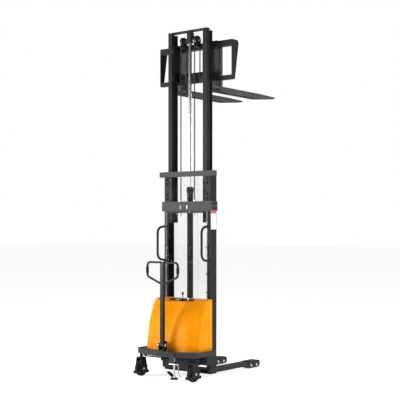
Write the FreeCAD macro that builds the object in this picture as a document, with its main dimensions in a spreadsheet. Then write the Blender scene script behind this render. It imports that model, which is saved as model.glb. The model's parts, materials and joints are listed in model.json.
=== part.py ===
import FreeCAD, Part
import math
import os

import Sketcher

# Walkie stacker: a pedestrian stacker with straddle legs, a two-stage mast and a steering tiller.
# Millimetres. X is across the truck, +Y points to the fork tips, +Z is up and Z = 0 is the floor.
# The origin is on the floor under the middle of the truck's outline. Lengths along Y in the
# helpers below are counted from the operator's side face of the mast, which is what the
# truck is built from. The mast is drawn fully raised.

Vector = FreeCAD.Vector
Rotation = FreeCAD.Rotation

doc = FreeCAD.newDocument("walkie_stacker")
sheet = doc.addObject("Spreadsheet::Sheet", "dims")

DIMENSIONS = {
    # whole truck
    "fork_reach": 1262,        # mast face to the fork tips
    "tray_reach": 430,         # mast face to the middle of the tray's bow
    "carriage_half": 479,      # half the width of the load backrest
    "extended_top": 3555,      # top of the raised inner mast
    # outer mast
    "mast_depth": 100,
    "outer_half": 305,
    "outer_width": 50,
    "outer_web": 6,
    "flange": 9,
    "outer_top": 2090,
    "notch_radius": 57,
    "notch_depth": 20,
    "high_roller_drop": 93,    # fixed rollers and their notches below the outer mast's top
    "low_roller_drop": 248,
    # inner mast
    "mast_gap": 2,             # side gap between the two stages
    "inner_width": 48,
    "inner_web": 6,
    "inner_recess": 21,        # depth of the recess that the fixed rollers run in
    "stage_overlap": 518,      # raised inner mast's foot below the outer mast's top
    "top_tie": 15,
    "top_tie_depth": 60,
    "low_tie_height": 50,
    "low_tie_plate": 8,
    "low_tie_rise": 98,        # lower tie above the foot of the inner mast
    # cross beams of the outer mast
    "beam_gap": 10,            # beams stand off the mast so that the lower tie passes
    "beam_plate": 12,
    "top_beam_wing": 50,       # bar beyond the upright
    "top_beam_over": 10,       # bar above the upright
    "top_beam_height": 55,
    "top_beam_return": 39,
    "return_plate": 8,
    "mid_beam_wing": 17,
    "mid_beam_drop": 300,      # bar's top edge below the upright's
    "mid_beam_height": 100,
    "mid_beam_side": 12,
    "lug_overlap": 3,          # weld lugs stand this far in from the upright's inner edge
    "lug_margin": 5,
    # lift cylinder and chains
    "barrel_radius": 32,
    "barrel_bore": 26,
    "barrel_floor": 20,
    "barrel_drop": 190,        # barrel's end below the outer mast's top
    "port_radius": 10,
    "pipe_end": 5,             # the pipe meets the port this far into the mast
    "port_z": 115,
    "gland_radius": 37.5,
    "gland_height": 36,
    "gland_skirt": 20,
    "rod_radius": 18,
    "rod_drop": 125,           # rod's end below the inner mast's top
    "piston_drop": 100,        # piston below the barrel's end
    "piston_height": 50,
    "running_fit": 0.05,       # radial gap of a shaft in its hole
    "clamp_rise": 38,          # clamp shelf above the middle beam's lower edge
    "clamp_plate": 12,
    "clamp_half": 115,
    "clamp_margin": 14,
    "sheave_x": 90,
    "sheave_shift": 5,         # sheaves in front of the mast's middle
    "sheave_drop": 108,
    "sheave_pitch": 45,
    "sheave_rim": 52,
    "sheave_width": 20,
    "sheave_flange": 3,
    "chain_width": 12,
    "chain_thick": 8,
    "chain_gap": 0.5,
    "cheek_gap": 2,
    "cheek_plate": 6,
    "cheek_depth": 60,
    "cheek_below": 67,         # cheeks below and above the sheaves' axle
    "cheek_above": 41,
    "cheek_bridge": 12,
    "bridge_half": 24,
    "block_half": 25,
    "arm_half": 18,
    "arm_height": 38,
    "pulley_axle_radius": 12,
    "anchor_rise": 10,         # chain's end above the middle beam
    "anchor_bolt_radius": 8,
    "clevis_height": 30,
    "anchor_drop": 46,         # anchor bolt's end below the middle beam
    # mast rollers
    "roller_gap": 1,           # between a roller and the flange that it runs on
    "roller_width": 16,
    "roller_axle": 14,
    "foot_roller_rise": 60,    # inner mast's own rollers above its foot
    # carriage and forks
    "carriage_gap": 34,        # mast front to the carriage bars
    "carriage_drop": 124,      # carriage's top below the inner mast's top
    "carriage_height": 403,
    "top_bar_depth": 60,
    "top_bar_height": 60,
    "low_bar_depth": 47,
    "low_bar_height": 44,
    "end_plate": 10,
    "end_plate_reach": 110,
    "side_plate": 12,
    "side_plate_gap": 3,       # plates that carry the rollers clear of the inner mast
    "side_plate_face": 15,
    "side_plate_rise": 7,
    "chain_lug_half": 10,
    "chain_lug_height": 40,
    "carriage_plate_rise": 2,
    "carriage_plate_height": 100,
    "carriage_plate": 26,
    "carriage_roller_drop": 61,
    "carriage_roller_rise": 52,
    "fork_x": 222,
    "fork_width": 122,
    "fork_drop": 52,           # blade's top below the carriage's lower bar
    "fork_height": 50,
    "fork_wall": 6,
    "fork_taper": 344,
    "fork_nose": 44,
    "nose_bevel": 6,
    "nose_length": 16,
    "nose_height": 16,
    "hook_plate": 12,
    "shank_rib": 12,
    "shank_depth": 41,
    "shank_plate": 20,
    # base frame
    "leg_inset": 33,
    "leg_width": 100,
    "leg_base": 35,
    "leg_top": 78,
    "leg_wall": 5,
    "leg_reach": 925,
    "tip_length": 213,
    "tip_base": 7.5,
    "tip_top": 82,
    "tip_plate": 10,
    "tip_round": 24,
    "load_roller_radius": 36,
    "load_roller_gap": 14,     # load roller to the leg's outer faces
    "load_axle_radius": 10,
    "front_roller_back": 59,   # load rollers behind the leg's tip
    "rear_roller_back": 159,
    "foot_plate": 6,
    "member_drop": 26,         # member below the tray's skirt
    "member_height": 80,
    "member_depth": 48,
    "tray_gap": 12,
    "tray_half": 385,
    "tray_bow": 905,
    "tray_corner": 56,
    "skirt_rise": 33,          # skirt above the steering arms
    "skirt_height": 54,
    "skirt_wall": 5,
    "skirt_lip": 8,            # skirt stands above the tray's floor
    "tray_plate": 6,
    # power unit
    "cover_wall": 4,
    "cover_inset": 45,         # cover's foot inside the tray's sides
    "cover_front_gap": 114,    # and inside the tray's bow
    "cover_back": 20,
    "slope_back": 516,         # top of the cover above the tray, at the mast
    "slope_front": 466,        # and at the operator's end of the slope
    "dash_rise": 496,          # middle of the dashboard above the tray
    "dash_room": 90,
    "dash_depth": 34,
    "dash_sink": 2,            # dashboard's face under the cover's top
    "dash_gap": 0.5,
    "tank_half": 160,
    "tank_front": 75,
    "tank_back": 205,
    "tank_base": 95,
    "pipe_radius": 6,
    "pipe_bend": 18,
    "pipe_x": 90,
    "pipe_back": 36,
    "battery_left_gap": 48,    # battery to the cover's side
    "battery_length": 252,
    "battery_room": 208,       # battery to the tray's bow
    "battery_mast_gap": 60,
    "battery_height": 195,
    "battery_lid": 20,
    "lid_overhang": 4,
    "post_radius": 9,
    "post_height": 18,
    "post_inset": 24,
    "motor_x": 105,
    "motor_back": 140,
    "motor_radius": 54,
    "motor_height": 190,
    "motor_neck": 41,
    "neck_gap": 1,
    "relay_radius": 22,
    "relay_x": 180,
    "relay_rise": 40,
    "relay_height": 80,
    "key_radius": 8,
    "gauge_radius": 22,
    "gauge_gap": 0.1,
    "lever_radius": 4,
    "knob_rise": 70,
    # steering
    "steer_front": 104,        # tray's bow to the caster kingpins
    "caster_inset": 43,        # tray's side to the kingpins
    "tiller_front": 38,        # tray's bow to the tiller's swivel
    "steer_arm": 75,
    "arm_width": 22,
    "arm_rise": 15,            # steering arms above the middle of the caster crowns
    "arm_plate": 9,
    "link_radius": 6,
    "tie_rod_drop": 12,
    "tie_rod_height": 11,
    "kingpin_radius": 15,
    "wheel_radius": 80,
    "wheel_width": 50,
    "tread": 22,
    "axle_radius": 9,
    "boss_radius": 24,
    "hub_dish": 14,
    "wheel_room": 22,          # caster crown above the wheel
    "crown_plate": 12,
    "crown_half": 36,
    "yoke_plate": 5,
    "yoke_gap": 4,
    "guard_room": 4,           # yoke's foot guard beyond the wheel
    "guard_plate": 4,
    "guard_base": 30,
    "guard_top": 58,
    "tilt_rise": 63,           # tiller's hinge above the tray
    "tilt_radius": 8,
    "swivel_disc": 12,
    "ear_plate": 10,
    "ear_in": 26,
    "ear_half": 22,
    "swivel_disc_radius": 31,
    "knuckle_radius": 20,
    "tiller_top": 1183,
    "tiller_width": 40,
    "tiller_depth": 30,
    "loop_half": 210,
    "loop_tube": 11,
    "loop_bend": 38,
    "loop_side_drop": 153,
    "loop_foot_drop": 231,
    "grip_radius": 15,
    "grip_drop": 121,
    "grip_length": 64,
    # grab handles
    "handle_inset": 15,
    "handle_reach": 140,
    "handle_base": 1164,
    "handle_top": 1551,
    "handle_tube": 12,
    "handle_bend": 66,
    "handle_rise": 22,
    # guard sheets
    "guard_sheet": 4,
    "guard_gap": 12,
    "guard_inset": 35,
    "guard_low": 790,
    "guard_bolt": 4,
    "guard_bolt_inset": 6,
    "guard_bolt_low": 70,      # first and last bolts in from the sheet's ends
    "guard_bolt_high": 90,
    "upper_guard_inset": 83,
    # floor brake
    "brake_x": 146,
    "brake_front": 46,         # tray's bow to the brake's spindle
    "spindle_radius": 9,
    "spindle_rise": 4,         # spindle's top above the skirt's lower edge
    "pad_base": 17,
    "pad_radius": 41,
    "pad_height": 15,
    "guide_drop": 58,
    "guide_plate": 8,
    "bracket_half": 30,
    "bracket_plate": 8,
    "cross_drop": 14,
    "boss_round": 15,
}

for row, (alias, number) in enumerate(DIMENSIONS.items(), start=1):
    sheet.set(f"A{row}", alias)
    sheet.set(f"B{row}", str(number))
    sheet.setAlias(f"B{row}", alias)
doc.recompute()


class Size:
    """A length worked out from the sheet: its expression text and its value."""

    def __init__(self, text, value):
        self.text = text
        self.value = value

    def _with(self, other, sign, value, swapped=False):
        pair = [self.text, size(other).text]
        if swapped:
            pair.reverse()
        return Size(f"({pair[0]} {sign} {pair[1]})", value)

    def __add__(self, other):
        return self._with(other, "+", self.value + size(other).value)

    def __radd__(self, other):
        return self._with(other, "+", self.value + size(other).value, swapped=True)

    def __sub__(self, other):
        return self._with(other, "-", self.value - size(other).value)

    def __rsub__(self, other):
        return self._with(other, "-", size(other).value - self.value, swapped=True)

    def __mul__(self, other):
        return self._with(other, "*", self.value * size(other).value)

    def __rmul__(self, other):
        return self._with(other, "*", self.value * size(other).value, swapped=True)

    def __truediv__(self, other):
        return self._with(other, "/", self.value / size(other).value)

    def __neg__(self):
        return 0 - self


def size(number):
    """Wrap a plain number so that it can join a Size in a sum."""
    if isinstance(number, Size):
        return number
    return Size(f"{number}", float(number))


class Sheet:
    """Reads a cell as an attribute, such as d.mast_depth."""

    def __getattr__(self, alias):
        return Size(f"dims.{alias}", float(sheet.get(alias)))


d = Sheet()

# Places that follow from the sheet. The mast's face in the truck's own frame comes first.
mast_y = (d.tray_reach - d.fork_reach) / 2
mast_middle = d.mast_depth / 2
mast_foot = d.leg_top + d.foot_plate
roller_radius = mast_middle - d.flange - d.roller_gap
high_roller_z = d.outer_top - d.high_roller_drop
low_roller_z = d.outer_top - d.low_roller_drop
inner_half = d.outer_half - d.outer_width - d.mast_gap
inner_foot = d.outer_top - d.stage_overlap
top_beam_half = d.outer_half + d.top_beam_wing
top_beam_top = d.outer_top + d.top_beam_over
top_beam_base = top_beam_top - d.top_beam_height
mid_beam_half = d.outer_half + d.mid_beam_wing
mid_beam_top = d.outer_top - d.mid_beam_drop
mid_beam_base = mid_beam_top - d.mid_beam_height
lug_in = d.outer_half - d.outer_width + d.lug_overlap
barrel_top = d.outer_top - d.barrel_drop
rod_top = d.extended_top - d.rod_drop
clamp_base = mid_beam_base + d.clamp_rise
sheave_y = mast_middle + d.sheave_shift
sheave_z = d.extended_top - d.sheave_drop
front_fall = sheave_y - d.sheave_pitch
rear_fall = sheave_y + d.sheave_pitch
carriage_top = d.extended_top - d.carriage_drop
carriage_back = d.mast_depth + d.carriage_gap
top_bar_base = carriage_top - d.top_bar_height
low_bar_base = carriage_top - d.carriage_height
low_bar_top = low_bar_base + d.low_bar_height
side_plate_half = inner_half - d.inner_width - d.side_plate_gap
carriage_plate_base = low_bar_base + d.carriage_plate_rise
carriage_plate_top = carriage_plate_base + d.carriage_plate_height
fork_top = low_bar_base - d.fork_drop
leg_half = d.outer_half - d.leg_inset
crown_top = 2 * d.wheel_radius + d.wheel_room + d.crown_plate
crown_middle = crown_top - d.crown_plate / 2
arm_base = crown_middle + d.arm_rise
tie_rod_base = arm_base - d.tie_rod_drop
skirt_base = arm_base + d.skirt_rise
skirt_top = skirt_base + d.skirt_height
tray_top = skirt_top - d.skirt_lip
member_top = skirt_base - d.member_drop
steer_back = d.tray_reach - d.steer_front
tiller_back = d.tray_reach - d.tiller_front
brake_back = d.tray_reach - d.brake_front
caster_x = d.tray_half - d.caster_inset
tilt_z = tray_top + d.tilt_rise
guard_half = d.outer_half - d.guard_inset
cover_half = d.tray_half - d.cover_inset
cover_depth = d.tray_reach - d.cover_front_gap - d.cover_back


def bind(item, prop, length):
    item.setExpression(prop, size(length).text)


def place(item, x, y, z, rotation=Rotation()):
    """Put an item at x, y (from the mast's face) and z."""
    item.Placement = FreeCAD.Placement(Vector(), rotation)
    bind(item, "Placement.Base.x", x)
    bind(item, "Placement.Base.y", mast_y + y)
    bind(item, "Placement.Base.z", z)
    return item


def box(name, x, y, z):
    """A block between two values along each axis."""
    item = doc.addObject("Part::Box", name)
    for prop, (low, high) in zip(("Length", "Width", "Height"), (x, y, z)):
        bind(item, prop, size(high) - size(low))
    return place(item, x[0], y[0], z[0])


ALONG = {
    "x": Rotation(Vector(0, 1, 0), 90),
    "y": Rotation(Vector(1, 0, 0), -90),
    "z": Rotation(),
}


def round_bar(name, axis, radius, span, at):
    """A cylinder along an axis, from span[0] to span[1], at the two other coordinates."""
    item = doc.addObject("Part::Cylinder", name)
    bind(item, "Radius", radius)
    bind(item, "Height", size(span[1]) - size(span[0]))
    corner = list(at)
    corner.insert("xyz".index(axis), span[0])
    return place(item, *corner, rotation=ALONG[axis])


def taper_bar(name, radii, span, at):
    """An upright cone between two radii."""
    item = doc.addObject("Part::Cone", name)
    bind(item, "Radius1", radii[0])
    bind(item, "Radius2", radii[1])
    bind(item, "Height", size(span[1]) - size(span[0]))
    return place(item, at[0], at[1], span[0])


def fuse(name, *items):
    item = doc.addObject("Part::MultiFuse", name)
    item.Shapes = list(items)
    item.Refine = True
    return item


def cut(name, base, *tools):
    item = doc.addObject("Part::Cut", name)
    item.Base = base
    item.Tool = tools[0] if len(tools) == 1 else fuse(f"{name}_tools", *tools)
    return item


def common(name, *items):
    item = doc.addObject("Part::MultiCommon", name)
    item.Shapes = list(items)
    return item


def group(name, *items):
    """Separate solids that share one node."""
    item = doc.addObject("Part::Compound", name)
    item.Links = list(items)
    return item


def mirror(name, source):
    """The same piece on the other side of the truck's centre plane."""
    item = doc.addObject("Part::Mirroring", name)
    item.Source = source
    item.Normal = Vector(1, 0, 0)
    return item


def pair(name, source):
    """A piece and its twin on the other side, in one node."""
    return group(name, source, mirror(f"{name}_twin", source))


def ring(name, axis, outer, inner, span, at):
    """A cylinder with a bore right through."""
    body = round_bar(f"{name}_body", axis, outer, span, at)
    bore = round_bar(f"{name}_bore", axis, inner, (size(span[0]) - 1, size(span[1]) + 1), at)
    return cut(name, body, bore)


def drawn_body(name, plane, outline):
    """A body with one sketch on an origin plane: a closed outline of bound corners."""
    body = doc.addObject("PartDesign::Body", name)
    sketch = body.newObject("Sketcher::SketchObject", f"{name}_outline")
    home = next(f for f in body.Origin.OriginFeatures if f.Role == f"{plane}_Plane")
    sketch.AttachmentSupport = [(home, "")]
    sketch.MapMode = "FlatFace"
    corners = [(size(u), size(v)) for u, v in outline]
    for index, (u, v) in enumerate(corners):
        after = corners[(index + 1) % len(corners)]
        sketch.addGeometry(Part.LineSegment(Vector(u.value, v.value, 0),
                                            Vector(after[0].value, after[1].value, 0)))
    for index, (u, v) in enumerate(corners):
        last = (index - 1) % len(corners)
        sketch.addConstraint(Sketcher.Constraint("Coincident", last, 2, index, 1))
        for kind, length in (("DistanceX", u), ("DistanceY", v)):
            number = sketch.addConstraint(Sketcher.Constraint(kind, index, 1, length.value))
            sketch.setExpression(f"Constraints[{number}]", length.text)
    return body, sketch


def plate(name, plane, outline, low, high):
    """A padded outline. plane is XY (x, y points), XZ (x, z) or YZ (y, z); low and high are
    where the plate starts and ends on the third axis."""
    body, sketch = drawn_body(name, plane, outline)
    pad = body.newObject("PartDesign::Pad", f"{name}_pad")
    pad.Profile = sketch
    bind(pad, "Length", size(high) - size(low))
    # the XZ plane's own normal is -Y, so that pad starts at the far side
    if plane == "XY":
        return place(body, 0, 0, low)
    if plane == "YZ":
        return place(body, low, 0, 0)
    return place(body, 0, high, 0)


def turned(name, axis, profile, at):
    """A lathe-turned piece: profile is (radius, position along the axis) pairs."""
    body, sketch = drawn_body(name, "XZ", profile)
    spin = body.newObject("PartDesign::Revolution", f"{name}_spin")
    spin.Profile = sketch
    spin.ReferenceAxis = (sketch, ["V_Axis"])
    spin.Angle = 360
    return place(body, *at, rotation=ALONG[axis])


def roller(name, radius, width, bore, rim, at):
    """A plain roller along X with bevelled rims."""
    return turned(name, "x", [(bore, 0), (radius - rim, 0), (radius, rim),
                              (radius, width - rim), (radius - rim, width), (bore, width)], at)


def bent_tube(name, radius, corners, bend):
    """A round tube through corners given as (x, y, z), each corner an arc of radius bend."""
    points = [Vector(size(x).value, (mast_y + y).value, size(z).value) for x, y, z in corners]
    edges = []
    start = points[0]
    for before, corner, after in zip(points, points[1:], points[2:]):
        into = (corner - before).normalize()
        away = (after - corner).normalize()
        turn = into.getAngle(away)
        leg = bend * math.tan(turn / 2)
        entry = corner - into * leg
        leave = corner + away * leg
        middle = (away - into).normalize()
        crown = corner + middle * (bend / math.cos(turn / 2) - bend)
        edges.append(Part.LineSegment(start, entry).toShape())
        edges.append(Part.Arc(entry, crown, leave).toShape())
        start = leave
    edges.append(Part.LineSegment(start, points[-1]).toShape())
    spine = doc.addObject("Part::Feature", f"{name}_spine")
    spine.Shape = Part.Wire(edges)
    circle = doc.addObject("Part::Circle", f"{name}_section")
    bind(circle, "Radius", radius)
    heading = Rotation(Vector(0, 0, 1), points[1] - points[0])
    circle.Placement = FreeCAD.Placement(points[0], heading)
    sweep = doc.addObject("Part::Sweep", name)
    sweep.Sections = [circle]
    sweep.Spine = (spine, [f"Edge{n + 1}" for n in range(len(edges))])
    sweep.Solid = True
    return sweep


nodes = []


def node(label, item):
    """Name a finished sub-part and list it for export."""
    item.Label = label
    nodes.append(item)
    return item


def node_pair(stem, item):
    """A right-hand sub-part and its left-hand twin, as two nodes."""
    node(f"{stem}_right", item)
    node(f"{stem}_left", mirror(f"{stem}_mirrored", item))


def outer_mast():
    outer = d.outer_half
    inner = outer - d.outer_width
    foot = d.leg_top + d.foot_plate
    blank = box("outer_blank", (inner, outer), (0, d.mast_depth), (foot, d.outer_top))
    throat = box("outer_throat", (inner - 1, outer - d.outer_web),
                 (d.flange, d.mast_depth - d.flange), (foot - 1, d.outer_top + 1))
    notches = [
        round_bar(f"notch_{index}", "y", d.notch_radius, (-1, d.flange),
                  (inner + d.notch_depth - d.notch_radius, height))
        for index, height in enumerate((high_roller_z, low_roller_z))
    ]
    node_pair("outer_upright", cut("outer_channel", blank, throat, *notches))


def cross_beams():
    face = (-d.beam_gap - d.beam_plate, -d.beam_gap)
    # top beam: a bar with returns beyond the uprights
    bar = box("top_bar", (-top_beam_half, top_beam_half), face,
              (top_beam_base, top_beam_top))
    lug = box("top_lug", (lug_in, d.outer_half), (-d.beam_gap, 0),
              (top_beam_base + d.lug_margin, d.outer_top - 2))
    end = box("top_end", (top_beam_half - d.return_plate, top_beam_half),
              (-d.beam_gap, d.top_beam_return), (top_beam_base, top_beam_top))
    lid = box("top_lid", (d.outer_half + 1, top_beam_half - d.return_plate),
              (-d.beam_gap, d.top_beam_return), (top_beam_top - d.return_plate, top_beam_top))
    half = fuse("top_beam_half_fuse", lug, end, lid)
    node("mast_top_beam", fuse("top_beam_fuse", bar, half, mirror("top_beam_twin", half)))

    # middle beam: a wide plate with side returns along the uprights
    bar = box("mid_bar", (-mid_beam_half, mid_beam_half), face,
              (mid_beam_base, mid_beam_top))
    lug = box("mid_lug", (lug_in, d.outer_half), (-d.beam_gap, 0),
              (mid_beam_base + d.lug_margin, mid_beam_top - d.lug_margin))
    side = box("mid_side", (d.outer_half, d.outer_half + d.mid_beam_side),
               (-d.beam_gap, d.mast_depth), (mid_beam_base, mid_beam_top))
    half = fuse("mid_beam_half_fuse", lug, side)
    node("mast_mid_beam", fuse("mid_beam_fuse", bar, half, mirror("mid_beam_twin", half)))


def guide_pads():
    """Small thrust pads that bear on the inner mast's flange at each roller notch."""
    pads = []
    reach = inner_half - 6
    end = d.outer_half - 15
    strap_face = -d.beam_gap + 1
    strap_back = strap_face + 4
    for index, height in enumerate((high_roller_z, low_roller_z)):
        across = (height - 7, height + 7)
        pad = round_bar(f"pad_disc_{index}", "y", 9, (strap_face, -0.5), (reach, height))
        strap = box(f"pad_strap_{index}", (reach, end), (strap_face, strap_back), across)
        foot = box(f"pad_foot_{index}", (end - 14, end), (strap_back, 0), across)
        pads.append(fuse(f"pad_{index}", pad, strap, foot))
    pads += [mirror(f"pad_{index}_twin", pad) for index, pad in enumerate(pads)]
    node("guide_pads", group("guide_pad_set", *pads))


def inner_mast():
    top = d.extended_top - d.top_tie
    outer = inner_half
    inner = outer - d.inner_width
    web_out = outer - d.inner_recess
    web_in = web_out - d.inner_web
    throat = (d.flange, d.mast_depth - d.flange)
    span = (inner_foot - 1, top + 1)
    blank = box("inner_blank", (inner, outer), (0, d.mast_depth), (inner_foot, top))
    recess = box("inner_recess_cut", (web_out, outer + 1), throat, span)
    cavity = box("inner_cavity_cut", (inner - 1, web_in), throat, span)
    node_pair("inner_upright", cut("inner_section", blank, recess, cavity))
    top_tie = box("top_tie_bar", (-outer, outer), (0, d.top_tie_depth), (top, d.extended_top))
    low = inner_foot + d.low_tie_rise
    edge = outer - d.lug_overlap
    low_tie = box("low_tie_bar", (-edge, edge), (-d.low_tie_plate, 0),
                  (low, low + d.low_tie_height))
    node("inner_mast_ties", group("inner_tie_set", top_tie, low_tie))


def mast_rollers():
    """The two pairs of rollers between the stages, and the stub axles that carry them."""
    web = d.outer_half - d.outer_web
    recess = inner_half - d.inner_recess
    bore = d.roller_axle + d.running_fit
    collar_radius = d.roller_axle + 6

    # upper pair: fixed to the outer mast, running in the inner mast's recess
    low = recess + 3
    wheel = roller("upper_wheel", roller_radius, d.roller_width, bore, 2,
                   (low, mast_middle, high_roller_z))
    node("mast_rollers_upper", pair("mast_rollers_upper_set", wheel))
    line = (mast_middle, high_roller_z)
    pin = round_bar("outer_stub", "x", d.roller_axle, (low - 1, web), line)
    collar = round_bar("outer_collar", "x", collar_radius, (low + d.roller_width + 1, web), line)
    fixed = fuse("outer_axle", pin, collar)

    # lower pair: carried by the inner mast's foot, running in the outer mast's channel
    height = inner_foot + d.foot_roller_rise
    low = web - 4 - d.roller_width
    wheel = roller("foot_wheel", roller_radius, d.roller_width, bore, 2,
                   (low, mast_middle, height))
    node("mast_rollers_lower", pair("mast_rollers_lower_set", wheel))
    line = (mast_middle, height)
    pin = round_bar("inner_stub", "x", d.roller_axle, (recess, low + d.roller_width + 1), line)
    collar = round_bar("inner_collar", "x", collar_radius, (recess, low - 1), line)
    riding = fuse("inner_axle", pin, collar)
    return ([fixed, mirror("outer_axle_twin", fixed)], [riding, mirror("inner_axle_twin", riding)])


def lift_cylinder():
    at = (0, mast_middle)
    tube = round_bar("barrel_tube", "z", d.barrel_radius, (mast_foot, barrel_top), at)
    port = round_bar("barrel_port", "y", d.port_radius,
                     (d.pipe_end, mast_middle - d.barrel_bore), (0, d.port_z))
    bore = round_bar("barrel_bore_cut", "z", d.barrel_bore,
                     (mast_foot + d.barrel_floor, barrel_top + 1), at)
    node("cylinder_barrel", cut("barrel", fuse("barrel_body", tube, port), bore))

    gland_base = barrel_top - d.gland_skirt
    gland_top = barrel_top + d.gland_height
    head = round_bar("gland_head", "z", d.gland_radius, (gland_base, gland_top), at)
    seat = round_bar("gland_seat", "z", d.barrel_radius + d.running_fit,
                     (gland_base - 1, barrel_top), at)
    hole = round_bar("gland_hole", "z", d.rod_radius + d.running_fit,
                     (barrel_top - 1, gland_top + 1), at)
    node("cylinder_gland", cut("gland", head, seat, hole))

    piston_base = barrel_top - d.piston_drop
    rod = round_bar("rod_bar", "z", d.rod_radius, (piston_base, rod_top), at)
    piston = round_bar("piston", "z", d.barrel_bore - d.running_fit,
                       (piston_base, piston_base + d.piston_height), at)
    node("piston_rod", fuse("rod_and_piston", rod, piston))

    # shelf behind the middle beam: clamps the barrel and holds the chain anchors
    shelf = box("clamp_shelf", (-d.clamp_half, d.clamp_half),
                (-d.beam_gap, mast_middle + d.barrel_radius + d.clamp_margin),
                (clamp_base, clamp_base + d.clamp_plate))
    through = (clamp_base - 1, clamp_base + d.clamp_plate + 1)
    hole = round_bar("clamp_hole", "z", d.barrel_radius + d.running_fit, through, at)
    bolt_hole = round_bar("anchor_hole", "z", d.anchor_bolt_radius + d.running_fit, through,
                          (d.sheave_x, front_fall))
    node("cylinder_clamp", cut("clamp", shelf, hole, bolt_hole,
                               mirror("anchor_hole_twin", bolt_hole)))


def chains(inner_roller_stubs):
    half = d.sheave_width / 2
    groove = d.sheave_pitch - d.chain_thick / 2 - d.chain_gap
    bore = d.pulley_axle_radius + d.running_fit
    sheave = turned("sheave_wheel", "x", [(bore, 0),
                                          (d.sheave_rim, 0),
                                          (d.sheave_rim, d.sheave_flange),
                                          (groove, d.sheave_flange),
                                          (groove, d.sheave_width - d.sheave_flange),
                                          (d.sheave_rim, d.sheave_width - d.sheave_flange),
                                          (d.sheave_rim, d.sheave_width),
                                          (bore, d.sheave_width)],
                    (d.sheave_x - half, sheave_y, sheave_z))
    node("chain_sheaves", pair("sheave_set", sheave))

    reach = d.sheave_x + half + d.cheek_gap + d.cheek_plate
    near = d.sheave_x - half - d.cheek_gap
    hub_line = (sheave_y, sheave_z)
    # crosshead: a block on the rod under the top tie, with a fork on each side for a sheave
    depth = (sheave_y - d.cheek_depth / 2, sheave_y + d.cheek_depth / 2)
    cheek_base = sheave_z - d.cheek_below
    cheek_top = sheave_z + d.cheek_above
    block = box("crosshead_block", (-d.block_half, d.block_half), depth,
                (rod_top, d.extended_top - d.top_tie))
    arm = box("crosshead_arm", (d.block_half, near - d.cheek_plate),
              (sheave_y - d.arm_half, sheave_y + d.arm_half), (rod_top, rod_top + d.arm_height))
    cheeks = [
        box(f"cheek_{index}", (low, low + d.cheek_plate), depth, (cheek_base, cheek_top))
        for index, low in enumerate((near - d.cheek_plate, reach - d.cheek_plate))
    ]
    bridge = box("cheek_bridge", (near - d.cheek_plate, reach),
                 (sheave_y - d.bridge_half, sheave_y + d.bridge_half),
                 (cheek_base, cheek_base + d.cheek_bridge))
    fork_side = fuse("crosshead_fork", arm, *cheeks, bridge)
    hole = round_bar("crosshead_hole", "x", bore, (-reach - 1, reach + 1), hub_line)
    body = fuse("crosshead_body", block, fork_side, mirror("crosshead_fork_twin", fork_side))
    node("pulley_crosshead", cut("crosshead", body, hole))
    axle = round_bar("pulley_axle_bar", "x", d.pulley_axle_radius, (-reach - 4, reach + 4),
                     hub_line)
    # the inner mast's axles: this one and the stubs of its own rollers
    node("inner_mast_axles", group("inner_axle_group", axle, *inner_roller_stubs))

    # leaf chain: a half turn over the sheave and two straight falls on each side
    side = (d.sheave_x - d.chain_width / 2, d.sheave_x + d.chain_width / 2)
    wrap_ring = ring("wrap_ring", "x", d.sheave_pitch + d.chain_thick / 2,
                     d.sheave_pitch - d.chain_thick / 2, side, (sheave_y, sheave_z))
    upper = box("wrap_half", (side[0] - 1, side[1] + 1),
                (front_fall - d.chain_thick, rear_fall + d.chain_thick),
                (sheave_z, sheave_z + d.sheave_rim + d.chain_thick))
    node("chain_wraps", pair("wrap_set", common("wrap", wrap_ring, upper)))
    thick = d.chain_thick / 2
    anchor_top = mid_beam_top + d.anchor_rise
    front = box("front_fall", side, (front_fall - thick, front_fall + thick),
                (anchor_top, sheave_z))
    node("chain_front_falls", pair("front_fall_set", front))
    rear = box("rear_fall", side, (rear_fall - thick, rear_fall + thick),
               (carriage_plate_top, sheave_z))
    node("chain_rear_falls", pair("rear_fall_set", rear))

    at = (d.sheave_x, front_fall)
    nut_radius = d.anchor_bolt_radius + 4
    shelf_top = clamp_base + d.clamp_plate
    bolt = round_bar("anchor_bolt", "z", d.anchor_bolt_radius,
                     (mid_beam_base - d.anchor_drop, anchor_top - d.clevis_height / 2), at)
    nut = round_bar("anchor_nut", "z", nut_radius, (clamp_base - 6, clamp_base), at)
    top_nut = round_bar("anchor_top_nut", "z", nut_radius, (shelf_top, shelf_top + 12), at)
    clevis = box("anchor_clevis", (side[0] - 3, side[1] + 3), (front_fall - 8, front_fall + 8),
                 (anchor_top - d.clevis_height, anchor_top))
    node("chain_anchor_bolts", pair("anchor_set", fuse("anchor", bolt, nut, top_nut, clevis)))


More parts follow.
